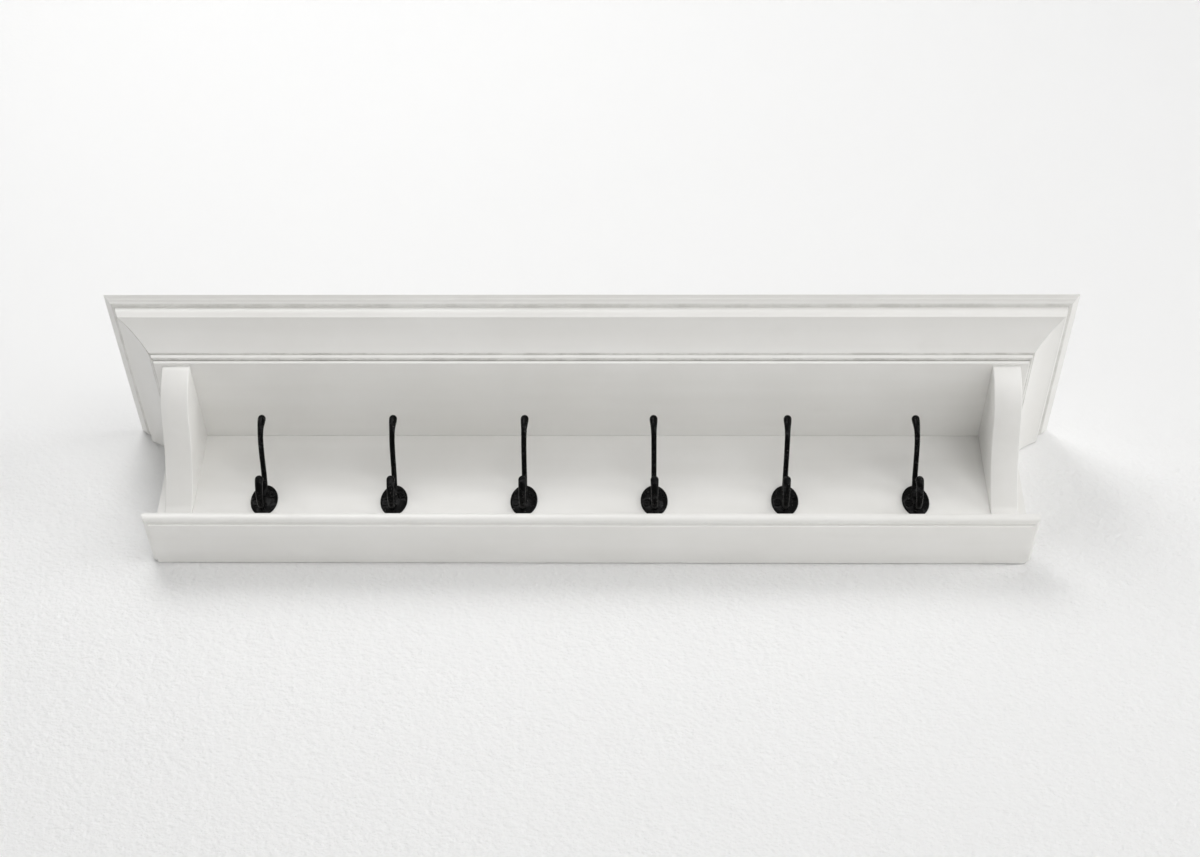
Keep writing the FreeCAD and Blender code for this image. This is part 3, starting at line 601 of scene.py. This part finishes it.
crown = {
    "lipRise": 1.0 * mm,
    "lipRound": 0.4 * mm,
    "bandInset": 7.6 * mm,
    "bandSteps": (0.42, 0.76),              # shares of the band where its two small steps lie
    "bandStep": 0.4 * mm,
    "beadInset": 11.4 * mm,
    "beadFoot": (14.0 * mm, 17.1 * mm),     # in from the front and down from the top
    "beadRadius": 18.0 * mm,
    "beadRound": 1.8 * mm,
    "coveInset": 44.6 * mm,
    "coveRadius": 70.0 * mm,
    "footInset": 46.4 * mm,
    "footRound": 2.2 * mm,
    "gapInset": 51.6 * mm,                  # how far in the foot stays clear of the soffit
    "backDrop": 24.0 * mm,                  # from the top down to where the back slopes to the seat
    "boardInset": 22.0 * mm,                # the top board's rebate
    "boardSeat": 10.0 * mm,
    "boardThick": 16.0 * mm,
    "arris": 0.3 * mm,
    "arcSteps": 14,
    "mitreGap": 0.012,                      # how much each side of a mitre opens per unit of drop
    "tightGap": 0.003,
}


def crownSection():
    stock, rise = crownHigh.y - crownLow.y, crownHigh.z - crownLow.z
    lip, lipRound = crown["lipRise"], crown["lipRound"]
    bandInset = crown["bandInset"]
    beadInset, beadDrop = crown["beadFoot"]
    face, turn = crown["footInset"], crown["footRound"]
    soffitLevel = seamRise - rise
    seat = crown["boardInset"] + crown["boardSeat"]
    corners = [(0, 0), (0, lipRound - lip, lipRound, 1), (lipRound, -lip)]
    for share in crown["bandSteps"]:
        drop = lip + (bandDrop - lip) * share
        corners += [(bandInset * share, -drop + crown["bandStep"]), (bandInset * share, -drop)]
    corners += [
        (bandInset, -bandDrop),
        (crown["beadInset"], -bandDrop, crown["beadRadius"], 1),
        (beadInset, -beadDrop, crown["beadRound"], 1),
        (beadInset + crown["beadRound"], -beadDrop - crown["beadRound"], crown["coveRadius"], -1),
        (crown["coveInset"], -coveDrop),
        (face, -coveDrop),
        (face, soffitLevel + turn, turn, 1),
        (face + turn, soffitLevel),
        (crown["gapInset"], soffitLevel),
        (crown["gapInset"], -rise),
        (stock, -rise),
        (stock, -crown["backDrop"]),
        (seat, -crown["boardThick"]),
        (crown["boardInset"], -crown["boardThick"]),
        (crown["boardInset"], 0),
    ]
    return easeOutline(traceOutline(corners, crown["arcSteps"]), crown["arris"])


def makeCrown():
    tree = makeRunTree()
    half, depth, top = crownHigh.x, -crownLow.y, crownHigh.z
    gap, tight = crown["mitreGap"], crown["tightGap"]
    quarter = math.pi / 2
    names = {
        "crown_front": "crownFront",
        "crown_left_return": "crownLeft",
        "crown_right_return": "crownRight",
    }
    runs = {
        "crown_front": {
            "Start": -half, "Finish": half, "Start Mitre": 1.0, "Finish Mitre": 1.0,
            "Start Gap": gap, "Finish Gap": tight, "Turn": (0, 0, 0),
            "Place": (0, -depth, top), "Material": paintAlongX,
        },
        "crown_left_return": {
            "Start": 0.0, "Finish": depth, "Start Mitre": 0.0, "Finish Mitre": 1.0,
            "Start Gap": 0.0, "Finish Gap": gap, "Turn": (0, 0, -quarter),
            "Place": (-half, 0, top), "Material": paintAlongY,
        },
        "crown_right_return": {
            "Start": -depth, "Finish": 0.0, "Start Mitre": 1.0, "Finish Mitre": 0.0,
            "Start Gap": tight, "Finish Gap": 0.0, "Turn": (0, 0, quarter),
            "Place": (half, 0, top), "Material": paintAlongY,
        },
    }
    for node, values in runs.items():
        obj = addPiece(names[node], outlineFace(names[node], crownSection()))
        addTree(obj, tree, values)
        settle(obj)
        sharpenCorners(obj.data)
        finishPiece(obj, node)


makeCrown()
print("crown made")


# Boards

boards = {
    "arris": 0.5 * mm,
    "softArris": 1.0 * mm,
    "soffitLip": 3.8 * mm,                  # thickness of the soffit's lip, which shows below the crown
    "soffitRound": 2.4 * mm,
    "soffitArris": 0.6 * mm,
    "middleInset": 17.3 * mm,               # how far the soffit stands back above its lip
    "nosingStep": 2.7 * mm,                 # thickness of the ledge's step below its nosing
    "nosingProud": 6.5 * mm,
    "nosingRound": 5.7 * mm,
}
bevelFaces = {"arris": 2, "board": 3, "bracket": 4, "lip": 7, "nosing": 9}      # across each bevel


def meshFrom(bm, name):
    bmesh.ops.recalc_face_normals(bm, faces=bm.faces)
    mesh = bpy.data.meshes.new(name)
    bm.to_mesh(mesh)
    bm.free()
    return mesh


def boxOf(bm, low, high):
    # Eight corners and six faces, pointing outwards.
    corners = [bm.verts.new((x, y, z))
               for z in (low.z, high.z) for y in (low.y, high.y) for x in (low.x, high.x)]
    for face in ((0, 2, 3, 1), (4, 5, 7, 6), (0, 1, 5, 4), (2, 6, 7, 3), (0, 4, 6, 2), (1, 3, 7, 5)):
        bm.faces.new([corners[index] for index in face])


def makeBoard(name, node, material, arris):
    bm = bmesh.new()
    boxOf(bm, *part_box(node))
    bevelEdges(bm, bm.edges[:], arris, bevelFaces["board"])
    obj = addPiece(name, meshFrom(bm, name), material)
    sharpenCorners(obj.data)
    finishPiece(obj, node)


def steppedBlock(low, high, level, inset):
    # A block whose part above the level stands back by the inset at the front and both ends.
    bm = bmesh.new()
    wide = [(low.x, low.y), (high.x, low.y), (high.x, high.y), (low.x, high.y)]
    slim = [(low.x + inset, low.y + inset), (high.x - inset, low.y + inset),
            (high.x - inset, high.y), (low.x + inset, high.y)]
    rings = [[bm.verts.new((*spot, z)) for spot in spots]
             for spots, z in ((wide, low.z), (wide, level), (slim, level), (slim, high.z))]
    bottom, brim, foot, top = rings
    bm.faces.new(bottom[::-1])
    bm.faces.new(top)
    for lower, upper in ((bottom, brim), (brim, foot), (foot, top)):
        for index in range(3):
            first, second = (index + 3) % 4, index
            bm.faces.new([lower[first], lower[second], upper[second], upper[first]])
    bm.faces.new([bottom[2], bottom[3], brim[3], foot[3], top[3], top[2], foot[2], brim[2]])
    return bm


def makeSoffit():
    low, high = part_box("soffit_board")
    level = low.z + boards["soffitLip"]
    bm = steppedBlock(low, high, level, boards["middleInset"])
    # The lip's round is the lower bevel, and its upper arris takes the rest.
    lowerRound = boards["soffitRound"] - boards["soffitArris"]
    bevelEdges(bm, rimEdges(bm, low, high, low.z), lowerRound, bevelFaces["lip"])
    bevelEdges(bm, rimEdges(bm, low, high, level), boards["soffitArris"], bevelFaces["arris"])
    obj = addPiece("soffitBoard", meshFrom(bm, "soffitBoard"), paintAlongX)
    sharpenCorners(obj.data)
    finishPiece(obj, "soffit_board")


def makeLedge():
    # The stepped block again, made from zero up and then turned over: the nosing above, the step below.
    low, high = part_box("bottom_ledge")
    thick = high.z - low.z
    level = thick - boards["nosingStep"]
    flipped = Vector((low.x, low.y, 0.0)), Vector((high.x, high.y, thick))
    bm = steppedBlock(*flipped, level, boards["nosingProud"])
    bevelEdges(bm, rimEdges(bm, low, high, 0.0, level), boards["nosingRound"], bevelFaces["nosing"])
    stepEdges = [edge for edge in sharpEdges(bm)
                 if all(near(vertex.co.z, thick) for vertex in edge.verts)]
    bevelEdges(bm, stepEdges, boards["arris"], bevelFaces["arris"])
    for vertex in bm.verts:
        vertex.co.z = high.z - vertex.co.z
    obj = addPiece("bottomLedge", meshFrom(bm, "bottomLedge"), paintAlongX)
    sharpenCorners(obj.data)
    finishPiece(obj, "bottom_ledge")


makeBoard("topBoard", "top_board", paintAlongX, boards["softArris"])
makeBoard("backPanel", "back_panel", paintAlongX, boards["arris"])
makeBoard("leftBatten", "left_end_batten", paintAlongZ, boards["arris"])
makeBoard("rightBatten", "right_end_batten", paintAlongZ, boards["arris"])
makeSoffit()
makeLedge()
print("boards made")


# Brackets

bracket = {
    "nose": 4.0 * mm,                       # upright at the top of the front
    "toe": 1.5 * mm,                        # out along the ledge
    "bellyRadius": 62.0 * mm,
    "sweepRadius": 152.0 * mm,
    "turn": (0.634, 0.60),                  # shares of reach and rise where belly turns to sweep
    "sweepEnd": (0.029, 0.14),              # and where the sweep ends
    "arcSteps": 24,
    "ease": 1.3 * mm,
    "arris": 0.4 * mm,
}


def makeBracket(name, node):
    low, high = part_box(node)
    reach, rise = high.y - low.y, high.z - low.z
    turn = (-reach * bracket["turn"][0], rise * bracket["turn"][1])
    toe = (-reach * bracket["sweepEnd"][0], rise * bracket["sweepEnd"][1])
    outline = traceOutline([
        (0, rise),
        (-reach, rise),
        (-reach, rise - bracket["nose"], bracket["bellyRadius"], 1),
        (*turn, bracket["sweepRadius"], -1),
        toe,
        (-bracket["toe"], 0),
        (0, 0),
    ], bracket["arcSteps"])
    bm = bmesh.new()
    cheeks = []
    for x in (low.x, high.x):
        cheeks.append([bm.verts.new((x, high.y + point.x, low.z + point.y)) for point in outline])
    left, right = cheeks
    bm.faces.new(left)
    bm.faces.new(right[::-1])
    count = len(outline)
    for index in range(count):
        following = (index + 1) % count
        bm.faces.new([left[index], right[index], right[following], left[following]])
    bmesh.ops.recalc_face_normals(bm, faces=bm.faces)

    def onCurve(edge):
        # Round either cheek, but not along the panel, the soffit or the ledge.
        first, second = (vertex.co for vertex in edge.verts)
        flat = near(first.x, second.x)
        backEdge = near(first.y, high.y) and near(second.y, high.y)
        topEdge = near(first.z, high.z) and near(second.z, high.z)
        footEdge = near(first.z, low.z) and near(second.z, low.z)
        return flat and not (backEdge or topEdge or footEdge)

    bevelEdges(bm, [edge for edge in bm.edges if onCurve(edge)], bracket["ease"], bevelFaces["bracket"])
    bevelEdges(bm, sharpEdges(bm), bracket["arris"], bevelFaces["arris"])
    obj = addPiece(name, meshFrom(bm, name), paintAlongZ)
    sharpenCorners(obj.data)
    finishPiece(obj, node)


makeBracket("leftBracket", "left_bracket")
makeBracket("rightBracket", "right_bracket")
print("brackets made")


# Hooks

hook = {
    "plateWidth": 28.4 * mm,
    "plateHeight": 40.4 * mm,
    "rim": 1.6 * mm,
    "dome": 2.6 * mm,
    "domePower": 3.2,                       # higher is flatter in the middle
    "rimRound": 0.9 * mm,
    "plateRings": 34,
    "ringPower": 0.85,                      # below one sets the rings closer towards the rim
    "plateSides": 112,
    "reach": 63.0 * mm,                     # of the long prong, out from the panel and up
    "rise": 62.5 * mm,
    "prongRadius": 4.2 * mm,
    "stubReach": 37.0 * mm,
    "stubDrop": 17.0 * mm,
    "stubRadius": 4.3 * mm,
    "stubFlat": 0.92,
    "ribRadius": 3.2 * mm,
    "barSides": 24,
    "screwSide": 7.9 * mm,
    "screwRise": 5.0 * mm,
    "seatRadius": 3.75 * mm,
    "seatLip": 0.7 * mm,
    "seatDepth": 2.5 * mm,                  # out from the panel
    "voxel": 0.42 * mm,                     # grain of the melted casting
    "smoothShare": 0.5,
    "smoothRounds": 6,
    "leans": [-1.0, 0.1, 1.2, -0.8, 2.2, -1.2],     # degrees, top to the right
}

# Stations as shares: out from the panel, up, thickness.
prongStations = [
    (0.02, 0.06, 1.20), (0.06, 0.13, 0.88), (0.13, 0.22, 0.73), (0.25, 0.31, 0.68), (0.42, 0.38, 0.66),
    (0.62, 0.45, 0.66), (0.80, 0.53, 0.67), (0.92, 0.62, 0.68), (0.98, 0.71, 0.73), (1.00, 0.79, 0.84),
    (1.00, 0.865, 0.95), (1.00, 0.93, 1.00),
]
stubStations = [
    (0.03, -0.35, 0.95), (0.15, -0.72, 0.84), (0.36, -0.95, 0.82), (0.60, -0.91, 0.83),
    (0.82, -0.68, 0.87), (0.95, -0.40, 0.94), (1.00, -0.12, 1.00),
]
ribStations = [
    (0.30, 0.10, 0.80), (0.42, -0.10, 1.00), (0.45, -0.40, 1.00), (0.42, -0.62, 0.92), (0.32, -0.78, 0.70),
]
tipShares = (0.2, 0.4, 0.58, 0.74, 0.88, 0.97)      # of the quarter turn that rounds a bar's free end


def smoothStations(stations, steps=5):
    # A smooth run through (out, up, radius) stations.
    points = [Vector(station) for station in stations]
    ends = [points[0] * 2 - points[1]] + points + [points[-1] * 2 - points[-2]]
    run = []
    for index in range(1, len(ends) - 2):
        before, first, second, after = ends[index - 1:index + 3]
        for step in range(steps):
            t = step / steps
            run.append(0.5 * (2 * first + (second - before) * t
                              + (2 * before - 5 * first + 4 * second - after) * t ** 2
                              + (3 * first - before - 3 * second + after) * t ** 3))
    return run + [points[-1]]


def scaled(stations, out, up, radius):
    # Stations in real sizes, from their shares.
    return [(out * a, up * b, radius * c) for a, b, c in stations]


def addBar(bm, stations, flat=1.0):
    # A closed bar through the stations with a rounded free end. Flat squeezes its depth.
    run = smoothStations(stations)
    sides = hook["barSides"]
    centres = [Vector((0, -spot.x, spot.y)) for spot in run]
    rings = []
    for index, spot in enumerate(run):
        along = (centres[min(index + 1, len(run) - 1)] - centres[max(index - 1, 0)]).normalized()
        rings.append((centres[index], along, spot.z))
    centre, along, radius = rings[-1]
    for share in tipShares:
        turn = math.pi / 2 * share
        rings.append((centre + along * radius * math.sin(turn), along, radius * math.cos(turn)))
    side = Vector((1, 0, 0))
    loops = []
    for centre, along, radius in rings:
        depth = along.cross(side) * flat
        spokes = [2 * math.pi * index / sides for index in range(sides)]
        loops.append([bm.verts.new(centre + (side * math.cos(turn) + depth * math.sin(turn)) * radius)
                      for turn in spokes])
    for lower, upper in zip(loops, loops[1:]):
        for index in range(sides):
            following = (index + 1) % sides
            bm.faces.new([lower[index], lower[following], upper[following], upper[index]])
    bm.faces.new(loops[0][::-1])
    bm.faces.new(loops[-1])


def plateRise(share, x, z):
    # How far the plate's front stands out at a share of its radius, with its two screw seats sunk in.
    out = hook["rim"] + hook["dome"] * (1 - share ** hook["domePower"])
    edge = min((1 - share) * hook["plateWidth"] / 2 / hook["rimRound"], 1.0)
    out -= hook["rimRound"] * (1 - math.sqrt(1 - (1 - edge) ** 2))
    for side in (-1, 1):
        away = math.hypot(x - hook["screwSide"] * side, z - hook["screwRise"] * side)
        sunk = min(max((hook["seatRadius"] + hook["seatLip"] - away) / hook["seatLip"], 0), 1)
        out += (min(hook["seatDepth"], out) - out) * sunk
    return out


def addPlate(bm):
    # A domed oval, flat at the back.
    rings, sides = hook["plateRings"], hook["plateSides"]
    centre = bm.verts.new((0, -plateRise(0, 0, 0), 0))
    loops = []
    for ring in range(1, rings + 1):
        share = (ring / rings) ** hook["ringPower"]
        loop = []
        for index in range(sides):
            turn = 2 * math.pi * index / sides
            x = math.cos(turn) * share * hook["plateWidth"] / 2
            z = math.sin(turn) * share * hook["plateHeight"] / 2
            loop.append(bm.verts.new((x, -plateRise(share, x, z), z)))
        loops.append(loop)
    loops.append([bm.verts.new((vertex.co.x, 0, vertex.co.z)) for vertex in loops[-1]])
    for index in range(sides):
        following = (index + 1) % sides
        bm.faces.new([centre, loops[0][index], loops[0][following]])
        for inner, outer in zip(loops, loops[1:]):
            bm.faces.new([inner[index], outer[index], outer[following], inner[following]])
    bm.faces.new(loops[-1])


def castHook():
    # Plate, rib and two prongs as closed shells, melted into one casting.
    bm = bmesh.new()
    addPlate(bm)
    addBar(bm, scaled(ribStations, hook["rim"] + hook["dome"], hook["plateHeight"] / 2, hook["ribRadius"]))
    addBar(bm, scaled(prongStations, hook["reach"], hook["rise"], hook["prongRadius"]))
    stub = scaled(stubStations, hook["stubReach"], hook["stubDrop"], hook["stubRadius"])
    addBar(bm, stub, hook["stubFlat"])
    for vertex in bm.verts:
        vertex.co.y = min(vertex.co.y, 0.0)     # nothing goes into the panel
    obj = addPiece("hookCasting", meshFrom(bm, "hookCasting"))
    melt = obj.modifiers.new("melt", "REMESH")
    melt.mode = "VOXEL"
    melt.voxel_size = hook["voxel"]
    smooth = obj.modifiers.new("smooth", "SMOOTH")
    smooth.factor = hook["smoothShare"]
    smooth.iterations = hook["smoothRounds"]
    settle(obj)
    mesh = obj.data
    bpy.data.objects.remove(obj)
    return mesh


def hookTurn(number):
    # Where a hook's plate middle lies on the panel, and how it leans.
    low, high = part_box(f"hook_{number}")
    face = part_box("back_panel")[0].y
    middle = Vector(((low.x + high.x) / 2, face, low.z + hook["plateHeight"] / 2))
    return Matrix.Translation(middle) @ Matrix.Rotation(math.radians(hook["leans"][number - 1]), 4, "Y")


def makeHooks():
    casting = castHook()
    for number in range(1, len(hook["leans"]) + 1):
        mesh = casting.copy()
        mesh.transform(hookTurn(number))
        mesh.shade_smooth()
        obj = addPiece(f"coatHook{number}", mesh, blackIron)
        finishPiece(obj, f"hook_{number}")


makeHooks()
print("hooks made")


# Hook screws

screw = {
    "head": 3.4 * mm,
    "shank": 1.5 * mm,
    "headRise": 2.0 * mm,
    "seat": 3.2 * mm,                       # top of the head out from the panel
    "length": 18.0 * mm,
    "headSides": 40,
    "shankSides": 16,
    "neckShare": 0.98,                      # of the shank's radius, where it goes into the head
    "pointShare": 0.35,                     # and at its point
    "shankStart": 0.9,                      # share of the head's rise where the shank begins
    "crossLength": 3.4 * mm,
    "crossWidth": 0.75 * mm,
    "crossDepth": 1.3 * mm,
    "spinStep": 37.0,                       # degrees that the crosses turn from hook to hook
    "spinSide": 21.0,                       # and to either side on one hook
}


def makeScrewTree():
    sizes = ("Head Radius", "Shank Radius", "Head Rise", "Length",
             "Cross Length", "Cross Width", "Cross Depth")
    tree, start, wires = newTree("screwsOnPoints", sizes)

    def moved(body, height):
        spot = start.make("ShaderNodeCombineXYZ", {}, {"Z": height})
        return start.make("GeometryNodeTransform", {}, {"Geometry": body, "Translation": spot})

    def cone(sides, top, bottom, depth):
        values = {"Vertices": sides, "Radius Top": top, "Radius Bottom": bottom, "Depth": depth}
        return start.make("GeometryNodeMeshCone", {"fill_type": "NGON"}, values)

    # The head's top lies at zero and its point at minus the length.
    headRadius, shankRadius, rise = wires["Head Radius"], wires["Shank Radius"], wires["Head Rise"]
    head = moved(cone(screw["headSides"], headRadius, shankRadius, rise), rise * -1.0)
    shank = cone(screw["shankSides"], shankRadius * screw["neckShare"], shankRadius * screw["pointShare"],
                 wires["Length"] - rise * screw["shankStart"])
    shank = moved(shank, wires["Length"] * -1.0)
    size = start.make("ShaderNodeCombineXYZ", {}, {"X": wires["Cross Length"], "Y": wires["Cross Width"],
                                                   "Z": wires["Cross Depth"] * 2.0})
    blade = start.make("GeometryNodeMeshCube", {}, {"Size": size})
    crossed = start.make("GeometryNodeTransform", {}, {"Geometry": blade, "Rotation": (0, 0, math.pi / 2)})
    cut = start.make("GeometryNodeMeshBoolean", {"operation": "DIFFERENCE"},
                     {"Mesh 1": head, "Mesh 2": [blade, crossed]})
    body = start.make("GeometryNodeJoinGeometry", {}, {"Geometry": [cut, shank]})
    turn = start.make("GeometryNodeInputNamedAttribute", {"data_type": "FLOAT_VECTOR"}, {"Name": "turn"})
    body = start.make("GeometryNodeInstanceOnPoints", {},
                      {"Points": wires["Geometry"], "Instance": body, "Rotation": turn})
    return closeTree(tree, start, wires, body)


def makeHookScrews():
    spots, turns = [], []
    for number in range(1, len(hook["leans"]) + 1):
        for side in (-1, 1):
            local = Vector((hook["screwSide"] * side, -screw["seat"], hook["screwRise"] * side))
            spots.append(hookTurn(number) @ local)
            spin = math.radians(screw["spinStep"] * number + screw["spinSide"] * side)
            turns.append((Matrix.Rotation(math.pi / 2, 3, "X") @ Matrix.Rotation(spin, 3, "Z")).to_euler())
    mesh = bpy.data.meshes.new("hookScrews")
    mesh.from_pydata(spots, [], [])
    turn = mesh.attributes.new("turn", "FLOAT_VECTOR", "POINT")
    for index, value in enumerate(turns):
        turn.data[index].vector = value
    obj = addPiece("hookScrews", mesh)
    addTree(obj, makeScrewTree(), {
        "Head Radius": screw["head"],
        "Shank Radius": screw["shank"],
        "Head Rise": screw["headRise"],
        "Length": screw["length"],
        "Cross Length": screw["crossLength"],
        "Cross Width": screw["crossWidth"],
        "Cross Depth": screw["crossDepth"],
        "Material": blackScrew,
    })
    settle(obj)
    sharpenCorners(obj.data)
    finishPiece(obj, "hook_screws")


makeHookScrews()
print("hook screws made")


# Hidden pieces that keep the solids' own shape

carried = {
    "crown_blocks": bareWood,
    "crown_back_rail": bareWood,
    "hanging_rail": bareWood,
    "ledge_dowels": bareWood,
    "hanger_plates": zincPlate,
    "hanger_screws": zincScrew,
    "rail_screws": zincScrew,
    "soffit_screws": zincScrew,
    "bracket_screws": zincScrew,
}
for node, material in carried.items():
    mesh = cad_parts[node].data
    mesh.materials.clear()
    mesh.materials.append(material)
print("carried nodes painted")


# Room and light

room = {
    "reach": 5.0,
    "floorLevel": -1.6,
    "wallGap": 1.3 * mm,                    # from the shelf's back to the wall's face
    "holeMargin": 4.0 * mm,                 # the opening's edge inside the shelf's outline
    "wallColour": (0.930, 0.931, 0.931),
    "wallShade": 0.985,
    "wallCloud": (3.0, 2.0, 0.5),
    "wallRough": 0.7,
    "rippleStretch": (0.7, 1.0, 1.0),
    "ripplePattern": (300.0, 2.0, 0.5),
    "rippleShare": 0.8,
    "swellPattern": (90.0, 2.0, 0.5),
    "swellShare": 0.6,
    "rippleDepth": 1.6 * mm,
    "rippleRange": (0.10, -0.02),           # levels above which the wall is smooth and below which it ripples
    "rippleStray": 0.06,                    # how far the clouds move those levels
    "rippleLeast": 0.1,
    "floorColour": (0.90, 0.895, 0.88),
    "floorShade": 0.97,
    "floorCloud": (2.0, 2.0, 0.5),
    "floorRough": 0.8,
}


def makeWall():
    # A wall with an opening just inside the shelf's own outline, so that its back is lit too.
    panelLow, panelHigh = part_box("back_panel")
    margin = room["holeMargin"]
    xs = [-room["reach"], panelLow.x + margin, panelHigh.x - margin, room["reach"]]
    zs = [room["floorLevel"], panelLow.z + margin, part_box("top_board")[1].z - margin, room["reach"]]
    mesh = bpy.data.meshes.new("wall")
    spots = [(x, room["wallGap"], z) for z in zs for x in xs]
    faces = []
    for first in range(len(spots) - len(xs)):
        column, row = first % len(xs), first // len(xs)
        if column < len(xs) - 1 and (column, row) != (1, 1):
            faces.append((first, first + 1, first + 1 + len(xs), first + len(xs)))
    mesh.from_pydata(spots, [], faces)
    return addPiece("wall", mesh, makeWallMaterial())


def makeWallMaterial():
    # Pale plaster with a faint texture. Seen from behind it is clear.
    material, start, shader, place = newMaterial("wallPlaster")
    ripple = noise(start, stretched(start, place, room["rippleStretch"]), *room["ripplePattern"])
    swell = noise(start, place, *room["swellPattern"])
    cloud = noise(start, place, *room["wallCloud"])
    level = start.make("ShaderNodeSeparateXYZ", {}, {"Vector": place}, output="Z")
    worked = between(start, level - cloud * room["rippleStray"], *room["rippleRange"])
    worked = worked * (1 - room["rippleLeast"]) + room["rippleLeast"]
    height = (ripple * room["rippleShare"] + swell * room["swellShare"]) * worked
    dress(start, shader, {
        "Base Color": mixPaler(start, cloud, room["wallColour"], room["wallShade"]),
        "Roughness": room["wallRough"],
        "Normal": bump(start, height, room["rippleDepth"]),
    })
    behind = start.make("ShaderNodeNewGeometry", output="Backfacing")
    clear = start.make("ShaderNodeBsdfTransparent")
    plaster = Wire(start.tree, shader.outputs[0])
    both = start.make("ShaderNodeMixShader", {}, {0: behind, 1: plaster, 2: clear})
    sink = start.tree.nodes["Material Output"]
    start.tree.links.new(both.socket, sink.inputs["Surface"])
    return material


def makeFloor():
    reach, level = room["reach"], room["floorLevel"]
    spots = [(-reach, -reach, level), (reach, -reach, level), (reach, reach, level), (-reach, reach, level)]
    mesh = bpy.data.meshes.new("floor")
    mesh.from_pydata(spots, [], [(0, 1, 2, 3)])
    material, start, shader, place = newMaterial("floorPale")
    cloud = noise(start, place, *room["floorCloud"])
    dress(start, shader, {
        "Base Color": mixPaler(start, cloud, room["floorColour"], room["floorShade"]),
        "Roughness": room["floorRough"],
    })
    return addPiece("floor", mesh, material)


makeWall()
makeFloor()

# Soft round lamps aimed at the shelf, as windows and pale walls would light it.
# The one behind lights the shelf's back through the wall's opening.
lampColour = (1.0, 0.998, 0.995)
lamps = {
    "window": {"from": (-0.76, -1.98, 1.49), "size": 1.6, "power": 27.5},
    "frontHigh": {"from": (0.0, -3.2, 1.6), "size": 2.4, "power": 12.0},
    "farSide": {"from": (5.2, -2.2, 0.2), "size": 2.6, "power": 92.0},
    "rightLow": {"from": (1.7, -4.7, -1.1), "size": 3.4, "power": 70.0},
    "leftLow": {"from": (-2.2, -1.2, -0.8), "size": 2.0, "power": 2.4},
    "behind": {"from": (0.9, 2.8, 1.2), "size": 2.2, "power": 45.0},
}
daylight = {"strength": 0.13, "colour": (1.0, 1.0, 1.0), "background": (0.93, 0.93, 0.93)}


def makeLamps():
    for name, lamp in lamps.items():
        data = bpy.data.lights.new(name, "AREA")
        data.shape = "DISK"
        data.size = lamp["size"]
        data.energy = lamp["power"]
        data.color = lampColour
        obj = bpy.data.objects.new(name, data)
        scene.collection.objects.link(obj)
        obj.location = lamp["from"]
        obj.rotation_euler = (-Vector(lamp["from"])).to_track_quat("-Z", "Y").to_euler()


def makeDaylight():
    # Even light from all round; the camera, gloss and glass see a pale room instead.
    world = bpy.data.worlds.new("daylight")
    scene.world = world
    world.use_nodes = True
    tree = world.node_tree
    tree.nodes.clear()
    start = Wire(tree)
    even = start.make("ShaderNodeBackground", {}, {"Color": (*daylight["colour"], 1.0),
                                                   "Strength": daylight["strength"]})
    pale = start.make("ShaderNodeBackground", {}, {"Color": (*daylight["background"], 1.0), "Strength": 1.0})
    rays = start.make("ShaderNodeLightPath", output="Is Camera Ray").socket.node.outputs
    seen = start.sum("MAXIMUM", Wire(tree, rays["Is Glossy Ray"]), Wire(tree, rays["Is Transmission Ray"]))
    seen = start.sum("MAXIMUM", seen, Wire(tree, rays["Is Camera Ray"]))
    both = start.make("ShaderNodeMixShader", {}, {0: seen, 1: even, 2: pale})
    sink = tree.nodes.new("ShaderNodeOutputWorld")
    tree.links.new(both.socket, sink.inputs["Surface"])


makeLamps()
makeDaylight()
scene.view_settings.view_transform = "Standard"
print("room and light made")
